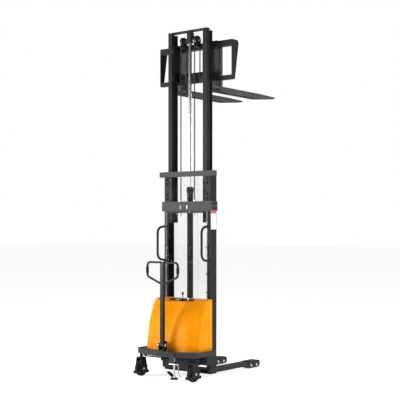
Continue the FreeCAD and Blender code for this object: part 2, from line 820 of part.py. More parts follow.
def carriage():
    wing = d.carriage_half - d.end_plate
    low_front = carriage_back + d.low_bar_depth
    high = box("carriage_high_bar", (-wing, wing),
               (carriage_back, carriage_back + d.top_bar_depth), (top_bar_base, carriage_top))
    low = box("carriage_low_bar", (-wing, wing), (carriage_back, low_front),
              (low_bar_base, low_bar_top))
    reach = carriage_back + d.end_plate_reach
    end = plate("carriage_end", "YZ", [(carriage_back, low_bar_base),
                                       (low_front, low_bar_base),
                                       (reach, carriage_top - 34),
                                       (reach - 4, carriage_top - 14),
                                       (reach - 20, carriage_top),
                                       (carriage_back, carriage_top)], wing, d.carriage_half)
    inside = side_plate_half - d.side_plate
    side = box("carriage_side", (inside, side_plate_half), (d.side_plate_face, carriage_back),
               (low_bar_base + d.side_plate_rise, carriage_top))
    web_back = carriage_back - d.carriage_plate
    web = box("carriage_web", (-inside, inside), (web_back, carriage_back),
              (carriage_plate_base, carriage_plate_top))
    lug = box("chain_lug", (d.sheave_x - d.chain_lug_half, d.sheave_x + d.chain_lug_half),
              (rear_fall - d.chain_thick, web_back),
              (carriage_plate_top - d.chain_lug_height, carriage_plate_top))
    right = fuse("carriage_right", end, side, lug)
    frame = fuse("carriage_body", high, low, web, right, mirror("carriage_left", right))

    low_x = side_plate_half + 4
    stubs = []
    for label, height in (("high", carriage_top - d.carriage_roller_drop),
                          ("low", low_bar_base + d.carriage_roller_rise)):
        wheel = roller(f"{label}_carriage_wheel", roller_radius, d.roller_width,
                       d.roller_axle + d.running_fit, 2, (low_x, mast_middle, height))
        node(f"carriage_rollers_{label}", pair(f"carriage_rollers_{label}_set", wheel))
        stubs.append(round_bar(f"carriage_stub_{label}", "x", d.roller_axle,
                               (side_plate_half, low_x + d.roller_width + 1),
                               (mast_middle, height)))
    stubs += [mirror(f"carriage_stub_twin_{index}", stub) for index, stub in enumerate(stubs)]
    node("carriage_frame", group("carriage_with_stubs", frame, *stubs))


def fork_outline(inset, back):
    """Plan of a fork blade: parallel sides, then a taper to a blunt nose."""
    half = d.fork_width / 2 - inset
    nose = d.fork_nose / 2 - inset
    cheek = nose + d.nose_bevel
    tip = d.fork_reach - inset
    bevel = tip - d.nose_length
    shoulder = d.fork_reach - d.fork_taper
    x = d.fork_x
    return [(x - half, back), (x + half, back), (x + half, shoulder), (x + cheek, bevel),
            (x + nose, tip), (x - nose, tip), (x - cheek, bevel), (x - half, shoulder)]


def forks():
    bar_front = carriage_back + d.top_bar_depth
    low_front = carriage_back + d.low_bar_depth
    under = fork_top - d.fork_height
    left = d.fork_x - d.fork_width / 2
    right = d.fork_x + d.fork_width / 2
    blade = plate("fork_blade", "XY", fork_outline(0, bar_front), under, fork_top)
    roof = fork_top - d.fork_wall
    hollow = plate("fork_hollow", "XY", fork_outline(d.fork_wall, bar_front - 5),
                   under - 1, roof)
    # the nose rises underneath from the taper to the tip
    shoulder = d.fork_reach - d.fork_taper
    rise = plate("fork_rise", "YZ", [(shoulder, under - 2),
                                     (d.fork_reach + 2, under - 2),
                                     (d.fork_reach + 2, fork_top - d.nose_height)],
                 left - 5, right + 5)
    channel = cut("fork_channel", blade, hollow, rise)
    # hollow shank with a hook over the upper bar and a saddle on the lower one
    shank_front = bar_front + d.shank_depth
    shank_back = shank_front - d.shank_plate
    hook_top = carriage_top + d.hook_plate
    face = box("shank_face", (left, right), (shank_back, shank_front), (roof, hook_top))
    ribs = [
        box(f"shank_rib_{index}", span, (bar_front, shank_back), (roof, hook_top))
        for index, span in enumerate(((left, left + d.shank_rib), (right - d.shank_rib, right)))
    ]
    hook = box("fork_hook", (left + 10, right - 10), (carriage_back + 14, shank_front),
               (carriage_top, hook_top))
    seat = (left + 18, right - 18)
    saddle = box("fork_saddle", seat, (low_front, shank_front), (low_bar_base, low_bar_top))
    keeper_back = low_front - 16
    keeper = box("fork_keeper", seat, (keeper_back, bar_front + 20), (roof, low_bar_base))
    bolt = round_bar("keeper_bolt", "y", 13, (keeper_back - 9, keeper_back),
                     (d.fork_x + 14, (fork_top + low_bar_base) / 2 - 2))
    welded = fuse("fork_body", channel, face, *ribs, hook, saddle, keeper)
    node_pair("fork", group("fork_and_bolt", welded, bolt))


def base_frame(outer_roller_stubs):
    inner = leg_half - d.leg_width
    beam = box("foot_beam", (-inner, inner), (0, d.mast_depth), (d.leg_base, d.leg_top))
    deck = box("foot_deck", (-d.outer_half, d.outer_half), (0, d.mast_depth), (d.leg_top, mast_foot))
    block = box("foot_block", (leg_half, d.outer_half), (0, d.mast_depth),
                (d.leg_base, d.leg_top))
    foot_frame = fuse("foot_fuse", beam, deck, block, mirror("foot_block_twin", block))

    tip_back = d.leg_reach - d.tip_length
    tube = box("leg_tube", (inner, leg_half), (0, tip_back), (d.leg_base, d.leg_top))
    bore = box("leg_bore", (inner + d.leg_wall, leg_half - d.leg_wall),
               (-1, tip_back - d.leg_wall), (d.leg_base + d.leg_wall, d.leg_top - d.leg_wall))
    leg = cut("leg_hollow", tube, bore)
    # tip: two cheeks with rounded ends hold the load rollers under a roof
    crown = (tip_back + d.tip_round, d.leg_reach - d.tip_round)
    shoulder = d.tip_top - d.tip_round
    waist = d.leg_base + 4
    bend = waist - d.tip_base
    roof = box("tip_roof", (inner, leg_half), crown, (d.tip_top - 8, d.tip_top))
    nose = box("tip_nose", (inner, leg_half), (d.leg_reach - 8, d.leg_reach),
               (waist + 4, shoulder))
    cheeks = []
    for index, low in enumerate((inner, leg_half - d.tip_plate)):
        span = (low, low + d.tip_plate)
        upper = box(f"tip_upper_{index}", span, (tip_back, d.leg_reach), (waist, shoulder))
        top = box(f"tip_crown_{index}", span, crown, (waist, d.tip_top))
        sole = (tip_back + bend, d.leg_reach - bend)
        lower = box(f"tip_lower_{index}", span, sole, (d.tip_base, waist))
        ends = [
            round_bar(f"tip_round_{index}_{end}", "x", bend, span, (y, waist))
            for end, y in enumerate(sole)
        ]
        ends += [
            round_bar(f"tip_shoulder_{index}_{end}", "x", d.tip_round, span, (y, shoulder))
            for end, y in enumerate(crown)
        ]
        cheeks.append(fuse(f"tip_cheek_{index}", upper, top, lower, *ends))
    roller_y = {"front": d.leg_reach - d.front_roller_back,
                "rear": d.leg_reach - d.rear_roller_back}
    through = (inner - 1, leg_half + 1)
    holes = [
        round_bar(f"tip_hole_{label}", "x", d.load_axle_radius + d.running_fit, through,
                  (y, d.load_roller_radius))
        for label, y in roller_y.items()
    ]
    body = fuse("leg_fuse", leg, roof, nose, *cheeks)
    node("straddle_legs", pair("leg_set", cut("leg_body", body, *holes)))

    load_roller_width = d.leg_width - 2 * d.load_roller_gap
    pins = []
    for label, y in roller_y.items():
        wheel = roller(f"load_wheel_{label}", d.load_roller_radius, load_roller_width,
                       d.load_axle_radius + d.running_fit, 3,
                       (inner + d.load_roller_gap, y, d.load_roller_radius))
        node(f"load_rollers_{label}", pair(f"load_rollers_{label}_set", wheel))
        pins.append(round_bar(f"load_pin_{label}", "x", d.load_axle_radius, through,
                              (y, d.load_roller_radius)))
    pins += [mirror(f"load_pin_twin_{index}", pin) for index, pin in enumerate(pins)]
    # the axles that the frame itself carries: load rollers and the fixed mast rollers
    node("frame_roller_axles", group("frame_axle_group", *pins, *outer_roller_stubs))

    # box member behind the mast, under the tray
    member_base = member_top - d.member_height
    member = box("member_bar", (-d.outer_half, d.outer_half),
                 (-d.tray_gap - d.member_depth, -d.tray_gap), (member_base, member_top))
    lug = box("member_lug", (lug_in, d.outer_half), (-d.tray_gap, 0), (member_base, member_top))
    rear = fuse("member_fuse", member, lug, mirror("member_lug_twin", lug))
    node("mast_foot_members", group("foot_members", foot_frame, rear))


def tray_blank(name, inset, low, high):
    """The tray's plan as a solid: straight sides, a bowed rear edge and rounded corners."""
    half = d.tray_half - inset
    slab = box(f"{name}_slab", (-half, half), (-d.tray_reach + inset - 10, -d.tray_gap - inset),
               (low, high))
    bow = round_bar(f"{name}_bow", "z", d.tray_bow - inset, (size(low) - 1, size(high) + 1),
                    (0, d.tray_bow - d.tray_reach))
    raw = common(f"{name}_raw", slab, bow)
    doc.recompute()
    corner = doc.addObject("Part::Fillet", name)
    corner.Base = raw
    radius = (d.tray_corner - inset).value
    marks = []
    for number, edge in enumerate(raw.Shape.Edges, start=1):
        ends = [vertex.Point for vertex in edge.Vertexes]
        upright = len(ends) == 2 and abs(ends[0].x - ends[1].x) + abs(ends[0].y - ends[1].y) < 1e-3
        if upright and ends[0].y < (mast_y - d.tray_reach / 2).value:
            marks.append((number, radius, radius))
    corner.Edges = marks
    return corner


def chassis_tray():
    outer = tray_blank("tray_outer", size(0), skirt_base, skirt_top)
    inner = tray_blank("tray_inner", d.skirt_wall, skirt_base - 1, skirt_top + 1)
    skirt = cut("tray_skirt", outer, inner)
    floor_base = tray_top - d.tray_plate
    floor = tray_blank("tray_floor", d.skirt_wall, floor_base, tray_top)
    lug = box("tray_lug", (lug_in, d.outer_half), (-d.tray_gap, 0), (skirt_base, tray_top))
    kingpin_line = (caster_x, -steer_back)
    swivel_line = (0, -tiller_back)
    boss = round_bar("kingpin_boss", "z", d.kingpin_radius * 2, (skirt_base, floor_base),
                     kingpin_line)
    swivel_boss = round_bar("swivel_boss", "z", d.kingpin_radius * 2, (skirt_base, floor_base),
                            swivel_line)
    body = fuse("tray_fuse", skirt, floor, lug, mirror("tray_lug_twin", lug), boss,
                mirror("kingpin_boss_twin", boss), swivel_boss)
    through = (skirt_base - 1, tray_top + 1)
    bore = d.kingpin_radius + d.running_fit
    hole = round_bar("kingpin_hole", "z", bore, through, kingpin_line)
    swivel = round_bar("swivel_hole", "z", bore, through, swivel_line)
    pump_hole = round_bar("pump_hole", "z", d.motor_neck + d.neck_gap,
                          (floor_base - 1, tray_top + 1), (d.motor_x, -d.motor_back))
    node("chassis_tray", cut("tray_body", body, hole, mirror("kingpin_hole_twin", hole), swivel,
                             pump_hole))


# Cover levels, in mm above the tray: (height, corner x, corner depth, lobe x, lobe depth,
# valley depth, depth where the side ends). They are drawn for a cover 340 mm to each side
# and from 20 to 316 mm behind the mast's face, and are stretched to the cover's own size.
DRAWN_HALF = 340
DRAWN_BACK = 20
DRAWN_DEPTH = 296
COVER_LEVELS = (
    (0, 242, 300, 15, 316, 316, 240),
    (138, 230, 286, 18, 305, 303, 228),
    (238, 216, 268, 55, 287, 272, 212),
    (338, 193, 240, 105, 257, 230, 183),
    (418, 167, 208, 146, 218, 186, 152),
    (530, 126, 155, 116, 157, 125, 94),
)


def cover_x(drawn):
    return cover_half * (drawn / DRAWN_HALF)


def cover_y(drawn):
    """Depth behind the mast's face."""
    return d.cover_back + cover_depth * ((drawn - DRAWN_BACK) / DRAWN_DEPTH)


def cover_wire(name, height, inset, plan):
    """One level of the cover, from the mast round to its two lobes and the valley between."""
    corner_x, lobe_x = (cover_x(drawn).value for drawn in (plan[0], plan[2]))
    corner_y, lobe_y, valley_y, side_end = (
        cover_y(drawn).value for drawn in (plan[1], plan[3], plan[4], plan[5]))
    side = cover_half.value - inset
    back = d.cover_back.value - inset * 6
    bevel = inset * 0.7
    right = [(side, back), (side, side_end - inset), (corner_x - bevel, corner_y - bevel),
             (lobe_x, lobe_y - inset)]
    left = [(-x, depth) for x, depth in reversed(right)]
    face = mast_y.value
    points = [Vector(x, face - depth, height)
              for x, depth in right + [(0, valley_y - inset)] + left]
    wire = doc.addObject("Part::Feature", name)
    wire.Shape = Part.makePolygon(points + points[:1])
    return wire


def above_slope(name, drop):
    """The room above the power unit's top, which slopes down towards the operator."""
    back_z = tray_top + d.slope_back - drop
    front_z = tray_top + d.slope_front - drop
    reach = cover_y(DRAWN_BACK + 220)
    return plate(name, "YZ",
                 [(-d.cover_back + 30, back_z + 10), (-d.cover_back, back_z), (-reach, front_z),
                  (-reach, back_z + 60), (-d.cover_back + 30, back_z + 60)],
                 -cover_half - d.cover_wall, cover_half + d.cover_wall)


def power_cover():
    lofts = []
    for shell, inset in (("outer", 0), ("inner", d.cover_wall.value)):
        wires = [
            cover_wire(f"cover_{shell}_{index}",
                       tray_top.value + rise - (1 if inset and not rise else 0), inset, plan)
            for index, (rise, *plan) in enumerate(COVER_LEVELS)
        ]
        loft = doc.addObject("Part::Loft", f"cover_loft_{shell}")
        loft.Sections = wires
        loft.Solid = True
        loft.Ruled = True
        lofts.append(loft)
    outside = cut("cover_outside", lofts[0], above_slope("cover_top", size(0)))
    inside = cut("cover_inside", lofts[1], above_slope("cover_lining", d.cover_wall))
    dash_middle = tray_top + d.dash_rise
    dash_hole = plate("dash_hole", "XY", dash_outline(0), dash_middle - d.dash_room,
                      dash_middle + d.dash_room)
    node("power_unit_cover", cut("cover_body", outside, fuse("cover_cuts", inside, dash_hole)))


def dash_outline(inset):
    """The dashboard's plan, drawn and stretched as the cover is."""
    right = [(cover_x(150) - inset, -cover_y(60) - inset), (cover_x(168) - inset, -cover_y(92)),
             (cover_x(128) - inset, -cover_y(128) + inset)]
    left = [(-x, y) for x, y in reversed(right)]
    return right + [(0, -cover_y(138) + inset)] + left


def dashboard():
    top = tray_top + d.dash_rise
    above = top + 20
    blank = plate("dash_blank", "XY", dash_outline(d.dash_gap), top - d.dash_depth, above)
    pan = cut("dash_pan", blank, above_slope("dash_slope", d.dash_sink))
    key_line = (cover_x(92), -cover_y(98))
    gauge_line = (-cover_x(48), -cover_y(100))
    lever_x, lever_back = cover_x(27), cover_y(104)
    key_base = top - 15
    gauge_base = top - 10
    slot = box("lever_slot", (lever_x - 6, lever_x + 6), (-lever_back - 23, -lever_back + 24),
               (top - 26, above + 1))
    key_hole = round_bar("key_hole", "z", d.key_radius + d.running_fit, (key_base, above + 1),
                         key_line)
    gauge_hole = round_bar("gauge_hole", "z", d.gauge_radius + d.gauge_gap,
                           (gauge_base, above + 1), gauge_line)
    gauge = round_bar("gauge", "z", d.gauge_radius, (gauge_base, top + 5), gauge_line)
    node("dashboard", group("dash_set", cut("dash", pan, slot, key_hole, gauge_hole), gauge))

    barrel = round_bar("key_barrel", "z", d.key_radius, (key_base, top + 8), key_line)
    bow = box("key_bow", (key_line[0] - 4, key_line[0] + 4), (key_line[1] - 1, key_line[1] + 1),
              (top + 8, top + 24))
    node("key_switch", fuse("key", barrel, bow))

    stem = round_bar("lever_stem", "z", d.lever_radius, (top - 20, top + d.knob_rise - 12),
                     (lever_x, -lever_back))
    knob = doc.addObject("Part::Ellipsoid", "lever_knob")
    knob.Radius1 = 19
    knob.Radius2 = 11
    knob.Radius3 = 11
    place(knob, lever_x, -lever_back, top + d.knob_rise)
    node("lift_lever", fuse("lever", stem, knob))


def power_unit():
    """The battery, pump motor, oil tank and pipe on and under the tray."""
    floor = tray_top
    lid_base = floor + d.battery_height
    lid_top = lid_base + d.battery_lid
    case_left = d.battery_left_gap - cover_half
    case_x = (case_left, case_left + d.battery_length)
    case_y = (d.battery_room - d.tray_reach, -d.battery_mast_gap)
    over = d.lid_overhang
    case = box("battery_case", case_x, case_y, (floor, lid_base))
    lid = box("battery_lid", (case_x[0] - over, case_x[1] + over),
              (case_y[0] - over, case_y[1] + over), (lid_base, lid_top))
    posts = [
        round_bar(f"battery_post_{index}", "z", d.post_radius, (lid_top, lid_top + d.post_height),
                  (x, case_y[1] - d.post_inset))
        for index, x in enumerate((case_x[0] + d.post_inset, case_x[1] - d.post_inset))
    ]
    node("battery", fuse("battery_fuse", case, lid, *posts))

    line = (d.motor_x, -d.motor_back)
    motor = round_bar("motor_can", "z", d.motor_radius, (floor, floor + d.motor_height), line)
    neck = round_bar("motor_neck_bar", "z", d.motor_neck, (floor - d.tray_plate, floor), line)
    relay_base = floor + d.relay_rise
    relay = round_bar("motor_relay", "z", d.relay_radius, (relay_base, relay_base + d.relay_height),
                      (d.relay_x, -d.motor_back))
    bridge = box("relay_bridge", (d.motor_x + d.motor_radius - 9, d.relay_x - 10),
                 (-d.motor_back - 10, -d.motor_back + 10),
                 (relay_base + d.relay_height / 4, relay_base + d.relay_height * 0.75))
    node("pump_motor", fuse("motor_fuse", motor, neck, relay, bridge))

    node("oil_tank", box("tank", (-d.tank_half, d.tank_half), (-d.tank_back, -d.tank_front),
                         (d.tank_base, tray_top - d.tray_plate)))
    route = [(d.pipe_x, -d.tank_front, d.port_z), (d.pipe_x, -d.pipe_back, d.port_z),
             (0, -d.pipe_back, d.port_z), (0, d.pipe_end, d.port_z)]
    node("hydraulic_pipe", bent_tube("pipe", d.pipe_radius, route, d.pipe_bend.value))


def steering_arm(name, x, y):
    """A flat arm from a swivel's axis towards the mast, with a rounded end."""
    half = d.arm_width / 2
    span = (arm_base, arm_base + d.arm_plate)
    bar = box(f"{name}_bar", (x - half, x + half), (y, y + d.steer_arm), span)
    end = round_bar(f"{name}_end", "z", half, span, (x, y + d.steer_arm))
    return fuse(name, bar, end)


def link_hole(name, x, y):
    return round_bar(name, "z", d.link_radius + d.running_fit,
                     (arm_base - 1, arm_base + d.arm_plate + 1), (x, y + d.steer_arm))


def tiller():
    # swivel base: disc, shaft, clevis ears and steering arm
    y = -tiller_back
    disc_top = tray_top + d.swivel_disc
    ear_out = d.ear_in + d.ear_plate
    depth = (y - d.ear_half, y + d.ear_half)
    disc = round_bar("base_disc", "z", d.swivel_disc_radius, (tray_top, disc_top), (0, y))
    shaft = round_bar("base_shaft", "z", d.kingpin_radius, (arm_base, tray_top + 1), (0, y))
    ear = box("base_ear", (d.ear_in, ear_out), depth, (disc_top, tilt_z + 20))
    web = box("base_web", (-ear_out, ear_out), depth, (disc_top - 1, disc_top + 8))
    stop = box("base_stop", (-ear_out, ear_out), (y + d.ear_half, y + d.ear_half + 8),
               (disc_top - 1, tilt_z + 40))
    body = fuse("base_fuse", disc, shaft, steering_arm("base_arm", 0, y), ear,
                mirror("base_ear_twin", ear), web, stop)
    hinge = (y, tilt_z)
    bore = d.tilt_radius + d.running_fit
    pin_hole = round_bar("tilt_hole", "x", bore, (-ear_out - 1, ear_out + 1), hinge)
    pin = round_bar("tilt_bar", "x", d.tilt_radius, (-ear_out - 4, ear_out + 4), hinge)
    node("tiller_base", group("base_and_pin", cut("base_body", body, pin_hole,
                                                  link_hole("arm_hole", 0, y)), pin))

    top = d.tiller_top - d.loop_tube
    edge = d.tiller_width / 2
    knuckle = d.ear_in - 1
    foot = round_bar("pole_knuckle", "x", d.knuckle_radius, (-knuckle, knuckle), hinge)
    pole = box("pole_tube", (-edge, edge), (y - d.tiller_depth / 2, y + d.tiller_depth / 2),
               (tilt_z, top))
    hole = round_bar("pole_hole", "x", bore, (-d.ear_in, d.ear_in), hinge)
    node("tiller_pole", cut("pole", fuse("pole_fuse", foot, pole), hole))

    # closed steering loop, welded to the sides of the pole
    half = d.loop_half - d.loop_tube
    weld = edge - 14
    loop_foot = d.tiller_top - d.loop_foot_drop
    loop = bent_tube("loop_upper", d.loop_tube,
                     [(weld, y, loop_foot), (half, y, d.tiller_top - d.loop_side_drop),
                      (half, y, top), (weld, y, top)], d.loop_bend.value)
    pole_room = box("loop_trim", (-edge, edge), (y - 20, y + 20),
                    (loop_foot - 40, d.tiller_top + 10))
    node("tiller_loop", pair("loop_set", cut("loop_trimmed", loop, pole_room)))
    grip_base = d.tiller_top - d.grip_drop
    sleeve = ring("grip_sleeve", "z", d.grip_radius, d.loop_tube + d.running_fit,
                  (grip_base, grip_base + d.grip_length), (half, y))
    node("tiller_grips", pair("grip_set", sleeve))


def steering():
    y = -steer_back
    x = caster_x
    plate_in = d.wheel_width / 2 + d.yoke_gap
    plate_out = plate_in + d.yoke_plate
    crown_base = crown_top - d.crown_plate
    pin = round_bar("kingpin", "z", d.kingpin_radius, (crown_middle, tray_top), (x, y))
    crown = box("yoke_crown", (x - plate_out, x + plate_out), (y - d.crown_half, y + d.crown_half),
                (crown_base, crown_top))
    foot = d.crown_half + 24
    cheeks = [
        plate(f"yoke_cheek_{index}", "YZ",
              [(y - foot, d.guard_base), (y + foot, d.guard_base), (y + foot, d.guard_top),
               (y + d.crown_half, crown_middle), (y - d.crown_half, crown_middle),
               (y - foot, d.guard_top)],
              low, low + d.yoke_plate)
        for index, low in enumerate((x - plate_out, x + plate_in))
    ]
    reach = d.wheel_radius + d.guard_room
    bumper = box("yoke_guard_out", (x - plate_out, x + plate_out), (y - reach, y + reach),
                 (d.guard_base, d.guard_top))
    reach = reach - d.guard_plate
    room = box("yoke_guard_in", (x - plate_in, x + plate_in), (y - reach, y + reach),
               (d.guard_base - 1, d.guard_top + 1))
    hoop = cut("yoke_hoop", bumper, room)
    body = fuse("yoke_fuse", pin, crown, steering_arm("yoke_arm", x, y), hoop, *cheeks)
    bore = d.axle_radius + d.running_fit
    wheel_line = (y, d.wheel_radius)
    axle_hole = round_bar("yoke_axle_hole", "x", bore, (x - plate_out - 1, x + plate_out + 1),
                          wheel_line)
    axle = round_bar("caster_axle", "x", d.axle_radius, (x - plate_out - 5, x + plate_out + 5),
                     wheel_line)
    node_pair("caster_yoke", group("yoke_and_axle",
                                   cut("yoke", body, link_hole("yoke_link_hole", x, y), axle_hole),
                                   axle))

    hub_radius = d.wheel_radius - d.tread
    width = d.wheel_width
    centre = (x - width / 2, y, d.wheel_radius)
    tyre = turned("tyre", "x", [(hub_radius, 0), (d.wheel_radius - 8, 0), (d.wheel_radius, 9),
                                (d.wheel_radius, width - 9), (d.wheel_radius - 8, width),
                                (hub_radius, width)], centre)
    node_pair("caster_tyre", tyre)
    dish = hub_radius - 8
    hub = turned("hub", "x", [(bore, 0), (d.boss_radius, 0), (d.boss_radius, d.hub_dish),
                              (dish, d.hub_dish), (dish, 2), (hub_radius, 2),
                              (hub_radius, width - 2), (dish, width - 2),
                              (dish, width - d.hub_dish), (d.boss_radius, width - d.hub_dish),
                              (d.boss_radius, width), (bore, width)], centre)
    node_pair("caster_hub", hub)

    # tie rod: one bar between the caster arms, with a tongue to the tiller's arm
    line = y + d.steer_arm
    tongue_end = -tiller_back + d.steer_arm
    height = (tie_rod_base, tie_rod_base + d.tie_rod_height)
    bar = box("tie_bar", (-x - 10, x + 10), (line - 8, line + 8), height)
    tongue = box("tie_tongue", (-9, 9), (tongue_end - 9, line), height)
    pins = [
        round_bar(f"tie_pin_{index}", "z", d.link_radius,
                  (tie_rod_base, arm_base + d.arm_plate), at)
        for index, at in enumerate(((x, line), (-x, line), (0, tongue_end)))
    ]
    node("steering_tie_rod", fuse("tie_rod", bar, tongue, *pins))


def grab_handles():
    x = d.outer_half - d.handle_inset
    start = 8
    grip_y = -d.handle_reach + d.handle_tube
    low = d.handle_base + d.handle_tube
    high = d.handle_top - d.handle_tube
    handle = bent_tube("handle", d.handle_tube,
                       [(x, start, low), (x, grip_y, low + d.handle_rise),
                        (x, grip_y, high - d.handle_rise), (x, start, high)],
                       d.handle_bend.value)
    trim = box("handle_trim", (x - 30, x + 30), (0, 30), (d.handle_base - 20, d.handle_top + 20))
    node("grab_handles", pair("handle_set", cut("handle_trimmed", handle, trim)))


def guard_sheets():
    face = (-d.guard_gap - d.guard_sheet, -d.guard_gap)
    lower = box("lower_sheet", (-guard_half, guard_half), face, (d.guard_low, mid_beam_base))
    first = d.guard_low + d.guard_bolt_low
    span = mid_beam_base - d.guard_bolt_high - first
    heights = [first + span * share for share in (0, 0.255, 0.626, 1)]
    bolt_x = guard_half - d.guard_bolt_inset
    holes = [
        round_bar(f"sheet_hole_{index}", "y", d.guard_bolt + d.gauge_gap,
                  (face[0] - 1, face[1] + 1), (bolt_x, z))
        for index, z in enumerate(heights)
    ]
    holes += [mirror(f"sheet_hole_twin_{index}", hole) for index, hole in enumerate(holes)]
    half = d.outer_half - d.upper_guard_inset
    upper = box("upper_sheet", (-half, half), face, (mid_beam_top, top_beam_base))
    node("mast_guard", group("guard_sheet_set", cut("lower_guard", lower, *holes), upper))
    bolts = []
    head_radius = 2 * d.guard_bolt
    for index, z in enumerate(heights):
        at = (bolt_x, z)
        shank = round_bar(f"sheet_shank_{index}", "y", d.guard_bolt, (face[0] - 1, 0), at)
        head = round_bar(f"sheet_head_{index}", "y", head_radius, (face[0] - 6, face[0]), at)
        spacer = round_bar(f"sheet_spacer_{index}", "y", head_radius, (-d.guard_gap, 0), at)
        bolts.append(fuse(f"sheet_bolt_{index}", shank, head, spacer))
    bolts += [mirror(f"sheet_bolt_twin_{index}", bolt) for index, bolt in enumerate(bolts)]
    node("guard_bolts", group("guard_bolt_set", *bolts))


def floor_brake():
    x = d.brake_x
    y = -brake_back
    guide_base = skirt_base - d.guide_drop
    guide_top = guide_base + d.guide_plate
    spindle_top = skirt_base + d.spindle_rise
    collar_base = spindle_top - 8
    across = (x - d.bracket_half, x + d.bracket_half)
    front = -d.tray_reach + d.bracket_plate
    lip = skirt_top - 18
    hang = box("brake_hang", across, (-d.tray_reach, front), (guide_base, lip))
    seat = box("brake_seat", across, (front, front + 14), (skirt_base, lip))
    shelf = box("brake_shelf", (x - 22, x + 22), (front, y + 14), (guide_base, guide_top))
    hole = round_bar("brake_guide", "z", d.spindle_radius + d.running_fit,
                     (guide_base - 1, guide_top + 1), (x, y))
    tray = tray_blank("bracket_trim", size(0), skirt_base - 1, skirt_top)
    node("brake_bracket", cut("bracket", fuse("bracket_fuse", hang, seat, shelf), hole, tray))

    foot = d.pad_base + d.pad_height
    spindle = round_bar("spindle_bar", "z", d.spindle_radius, (foot, spindle_top), (x, y))
    collar = round_bar("spindle_collar", "z", d.spindle_radius + 5, (collar_base, spindle_top),
                       (x, y))
    bar = round_bar("spindle_cross", "x", 5, (x - 66, x + 50), (y, guide_base - d.cross_drop))
    boss = round_bar("spindle_boss", "z", d.boss_round, (foot, foot + 14), (x, y))
    node("brake_spindle", fuse("spindle", spindle, collar, bar, boss))
    node("brake_pad", taper_bar("pad_disc_body", (d.pad_radius, d.pad_radius - 5),
                                (d.pad_base, foot), (x, y)))
    node("brake_spring", ring("spring_tube", "z", d.spindle_radius + 4, d.spindle_radius + 1,
                              (guide_top, collar_base), (x, y)))
    pedal = plate("pedal_arm", "XZ", [(x - d.boss_round, foot + 6), (x - d.boss_round, foot + 20),
                                      (x - 78, foot + 58), (x - 84, foot + 50)],
                  y - 20, y + 20)
    node("brake_pedal", pedal)
    # release lever beside the spindle, hinged in the bracket's side
    beside = y + 11
    hinge_z = guide_base + d.guide_plate / 2
    lever = bent_tube("release_bar", 4,
                      [(x + 27, beside, hinge_z), (x + 42, beside, hinge_z - 4),
                       (x + 48, beside, 70), (x + 74, beside, 40)], 12)
    node("brake_release_lever", lever)


outer_mast()
cross_beams()
guide_pads()
inner_mast()
fixed_stubs, riding_stubs = mast_rollers()
lift_cylinder()
chains(riding_stubs)
carriage()
forks()
base_frame(fixed_stubs)
chassis_tray()
power_cover()
dashboard()
power_unit()
tiller()
steering()
grab_handles()
guard_sheets()
floor_brake()

doc.recompute()
for item in doc.Objects:
    bad = [state for state in item.State if state in ("Invalid", "Error")]
    if bad:
        raise RuntimeError(f"{item.Name} ({item.Label}) is {bad}")

os.makedirs("parts", exist_ok=True)
for item in nodes:
    if item.Shape.isNull() or not item.Shape.isValid():
        raise RuntimeError(f"{item.Label} has no valid shape")
    item.Shape.exportStep(f"parts/{item.Label}.step")
print(f"{len(nodes)} sub-parts written")
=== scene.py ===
import json
import math
import random
import bpy
import bmesh
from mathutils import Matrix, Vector


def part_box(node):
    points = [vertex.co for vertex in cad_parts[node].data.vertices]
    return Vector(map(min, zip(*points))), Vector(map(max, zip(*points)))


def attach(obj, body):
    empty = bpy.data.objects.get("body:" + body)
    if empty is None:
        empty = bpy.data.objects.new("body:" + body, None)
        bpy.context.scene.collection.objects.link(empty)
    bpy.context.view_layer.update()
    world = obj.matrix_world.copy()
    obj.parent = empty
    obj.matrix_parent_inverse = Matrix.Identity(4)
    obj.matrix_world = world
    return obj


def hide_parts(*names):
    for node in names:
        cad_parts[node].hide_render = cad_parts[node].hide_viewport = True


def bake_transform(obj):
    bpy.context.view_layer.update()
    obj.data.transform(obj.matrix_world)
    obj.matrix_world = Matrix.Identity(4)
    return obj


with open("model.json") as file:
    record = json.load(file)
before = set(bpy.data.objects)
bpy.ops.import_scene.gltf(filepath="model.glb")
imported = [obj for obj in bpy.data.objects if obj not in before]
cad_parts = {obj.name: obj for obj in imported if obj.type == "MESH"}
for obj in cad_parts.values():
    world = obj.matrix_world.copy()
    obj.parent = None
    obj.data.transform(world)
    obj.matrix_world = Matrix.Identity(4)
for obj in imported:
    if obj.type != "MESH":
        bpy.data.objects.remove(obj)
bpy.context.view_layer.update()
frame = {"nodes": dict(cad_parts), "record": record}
scene = bpy.context.scene

# Walkie stacker: dark powder-coated mast and base, orange-yellow power unit cover.
# Metres, +X across the truck, +Y to the fork tips, +Z up.
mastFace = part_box("outer_upright_left")[0].y      # the mast's face towards the operator
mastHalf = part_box("outer_upright_right")[1].x
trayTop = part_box("power_unit_cover")[0].z
random.seed(7)
print("frame loaded, mast face at", round(mastFace, 3))


def newGroup(name, inputs, outputs):
    tree = bpy.data.node_groups.new(name, "ShaderNodeTree")
    for label, start in inputs.items():
        socket = tree.interface.new_socket(name=label, in_out="INPUT", socket_type="NodeSocketFloat")
        socket.default_value = start
    for label in outputs:
        tree.interface.new_socket(name=label, in_out="OUTPUT", socket_type="NodeSocketFloat")
    return tree, tree.nodes.new("NodeGroupInput"), tree.nodes.new("NodeGroupOutput")


def feed(tree, value, socket):
    if isinstance(value, (int, float)):
        socket.default_value = value
    else:
        tree.links.new(value, socket)


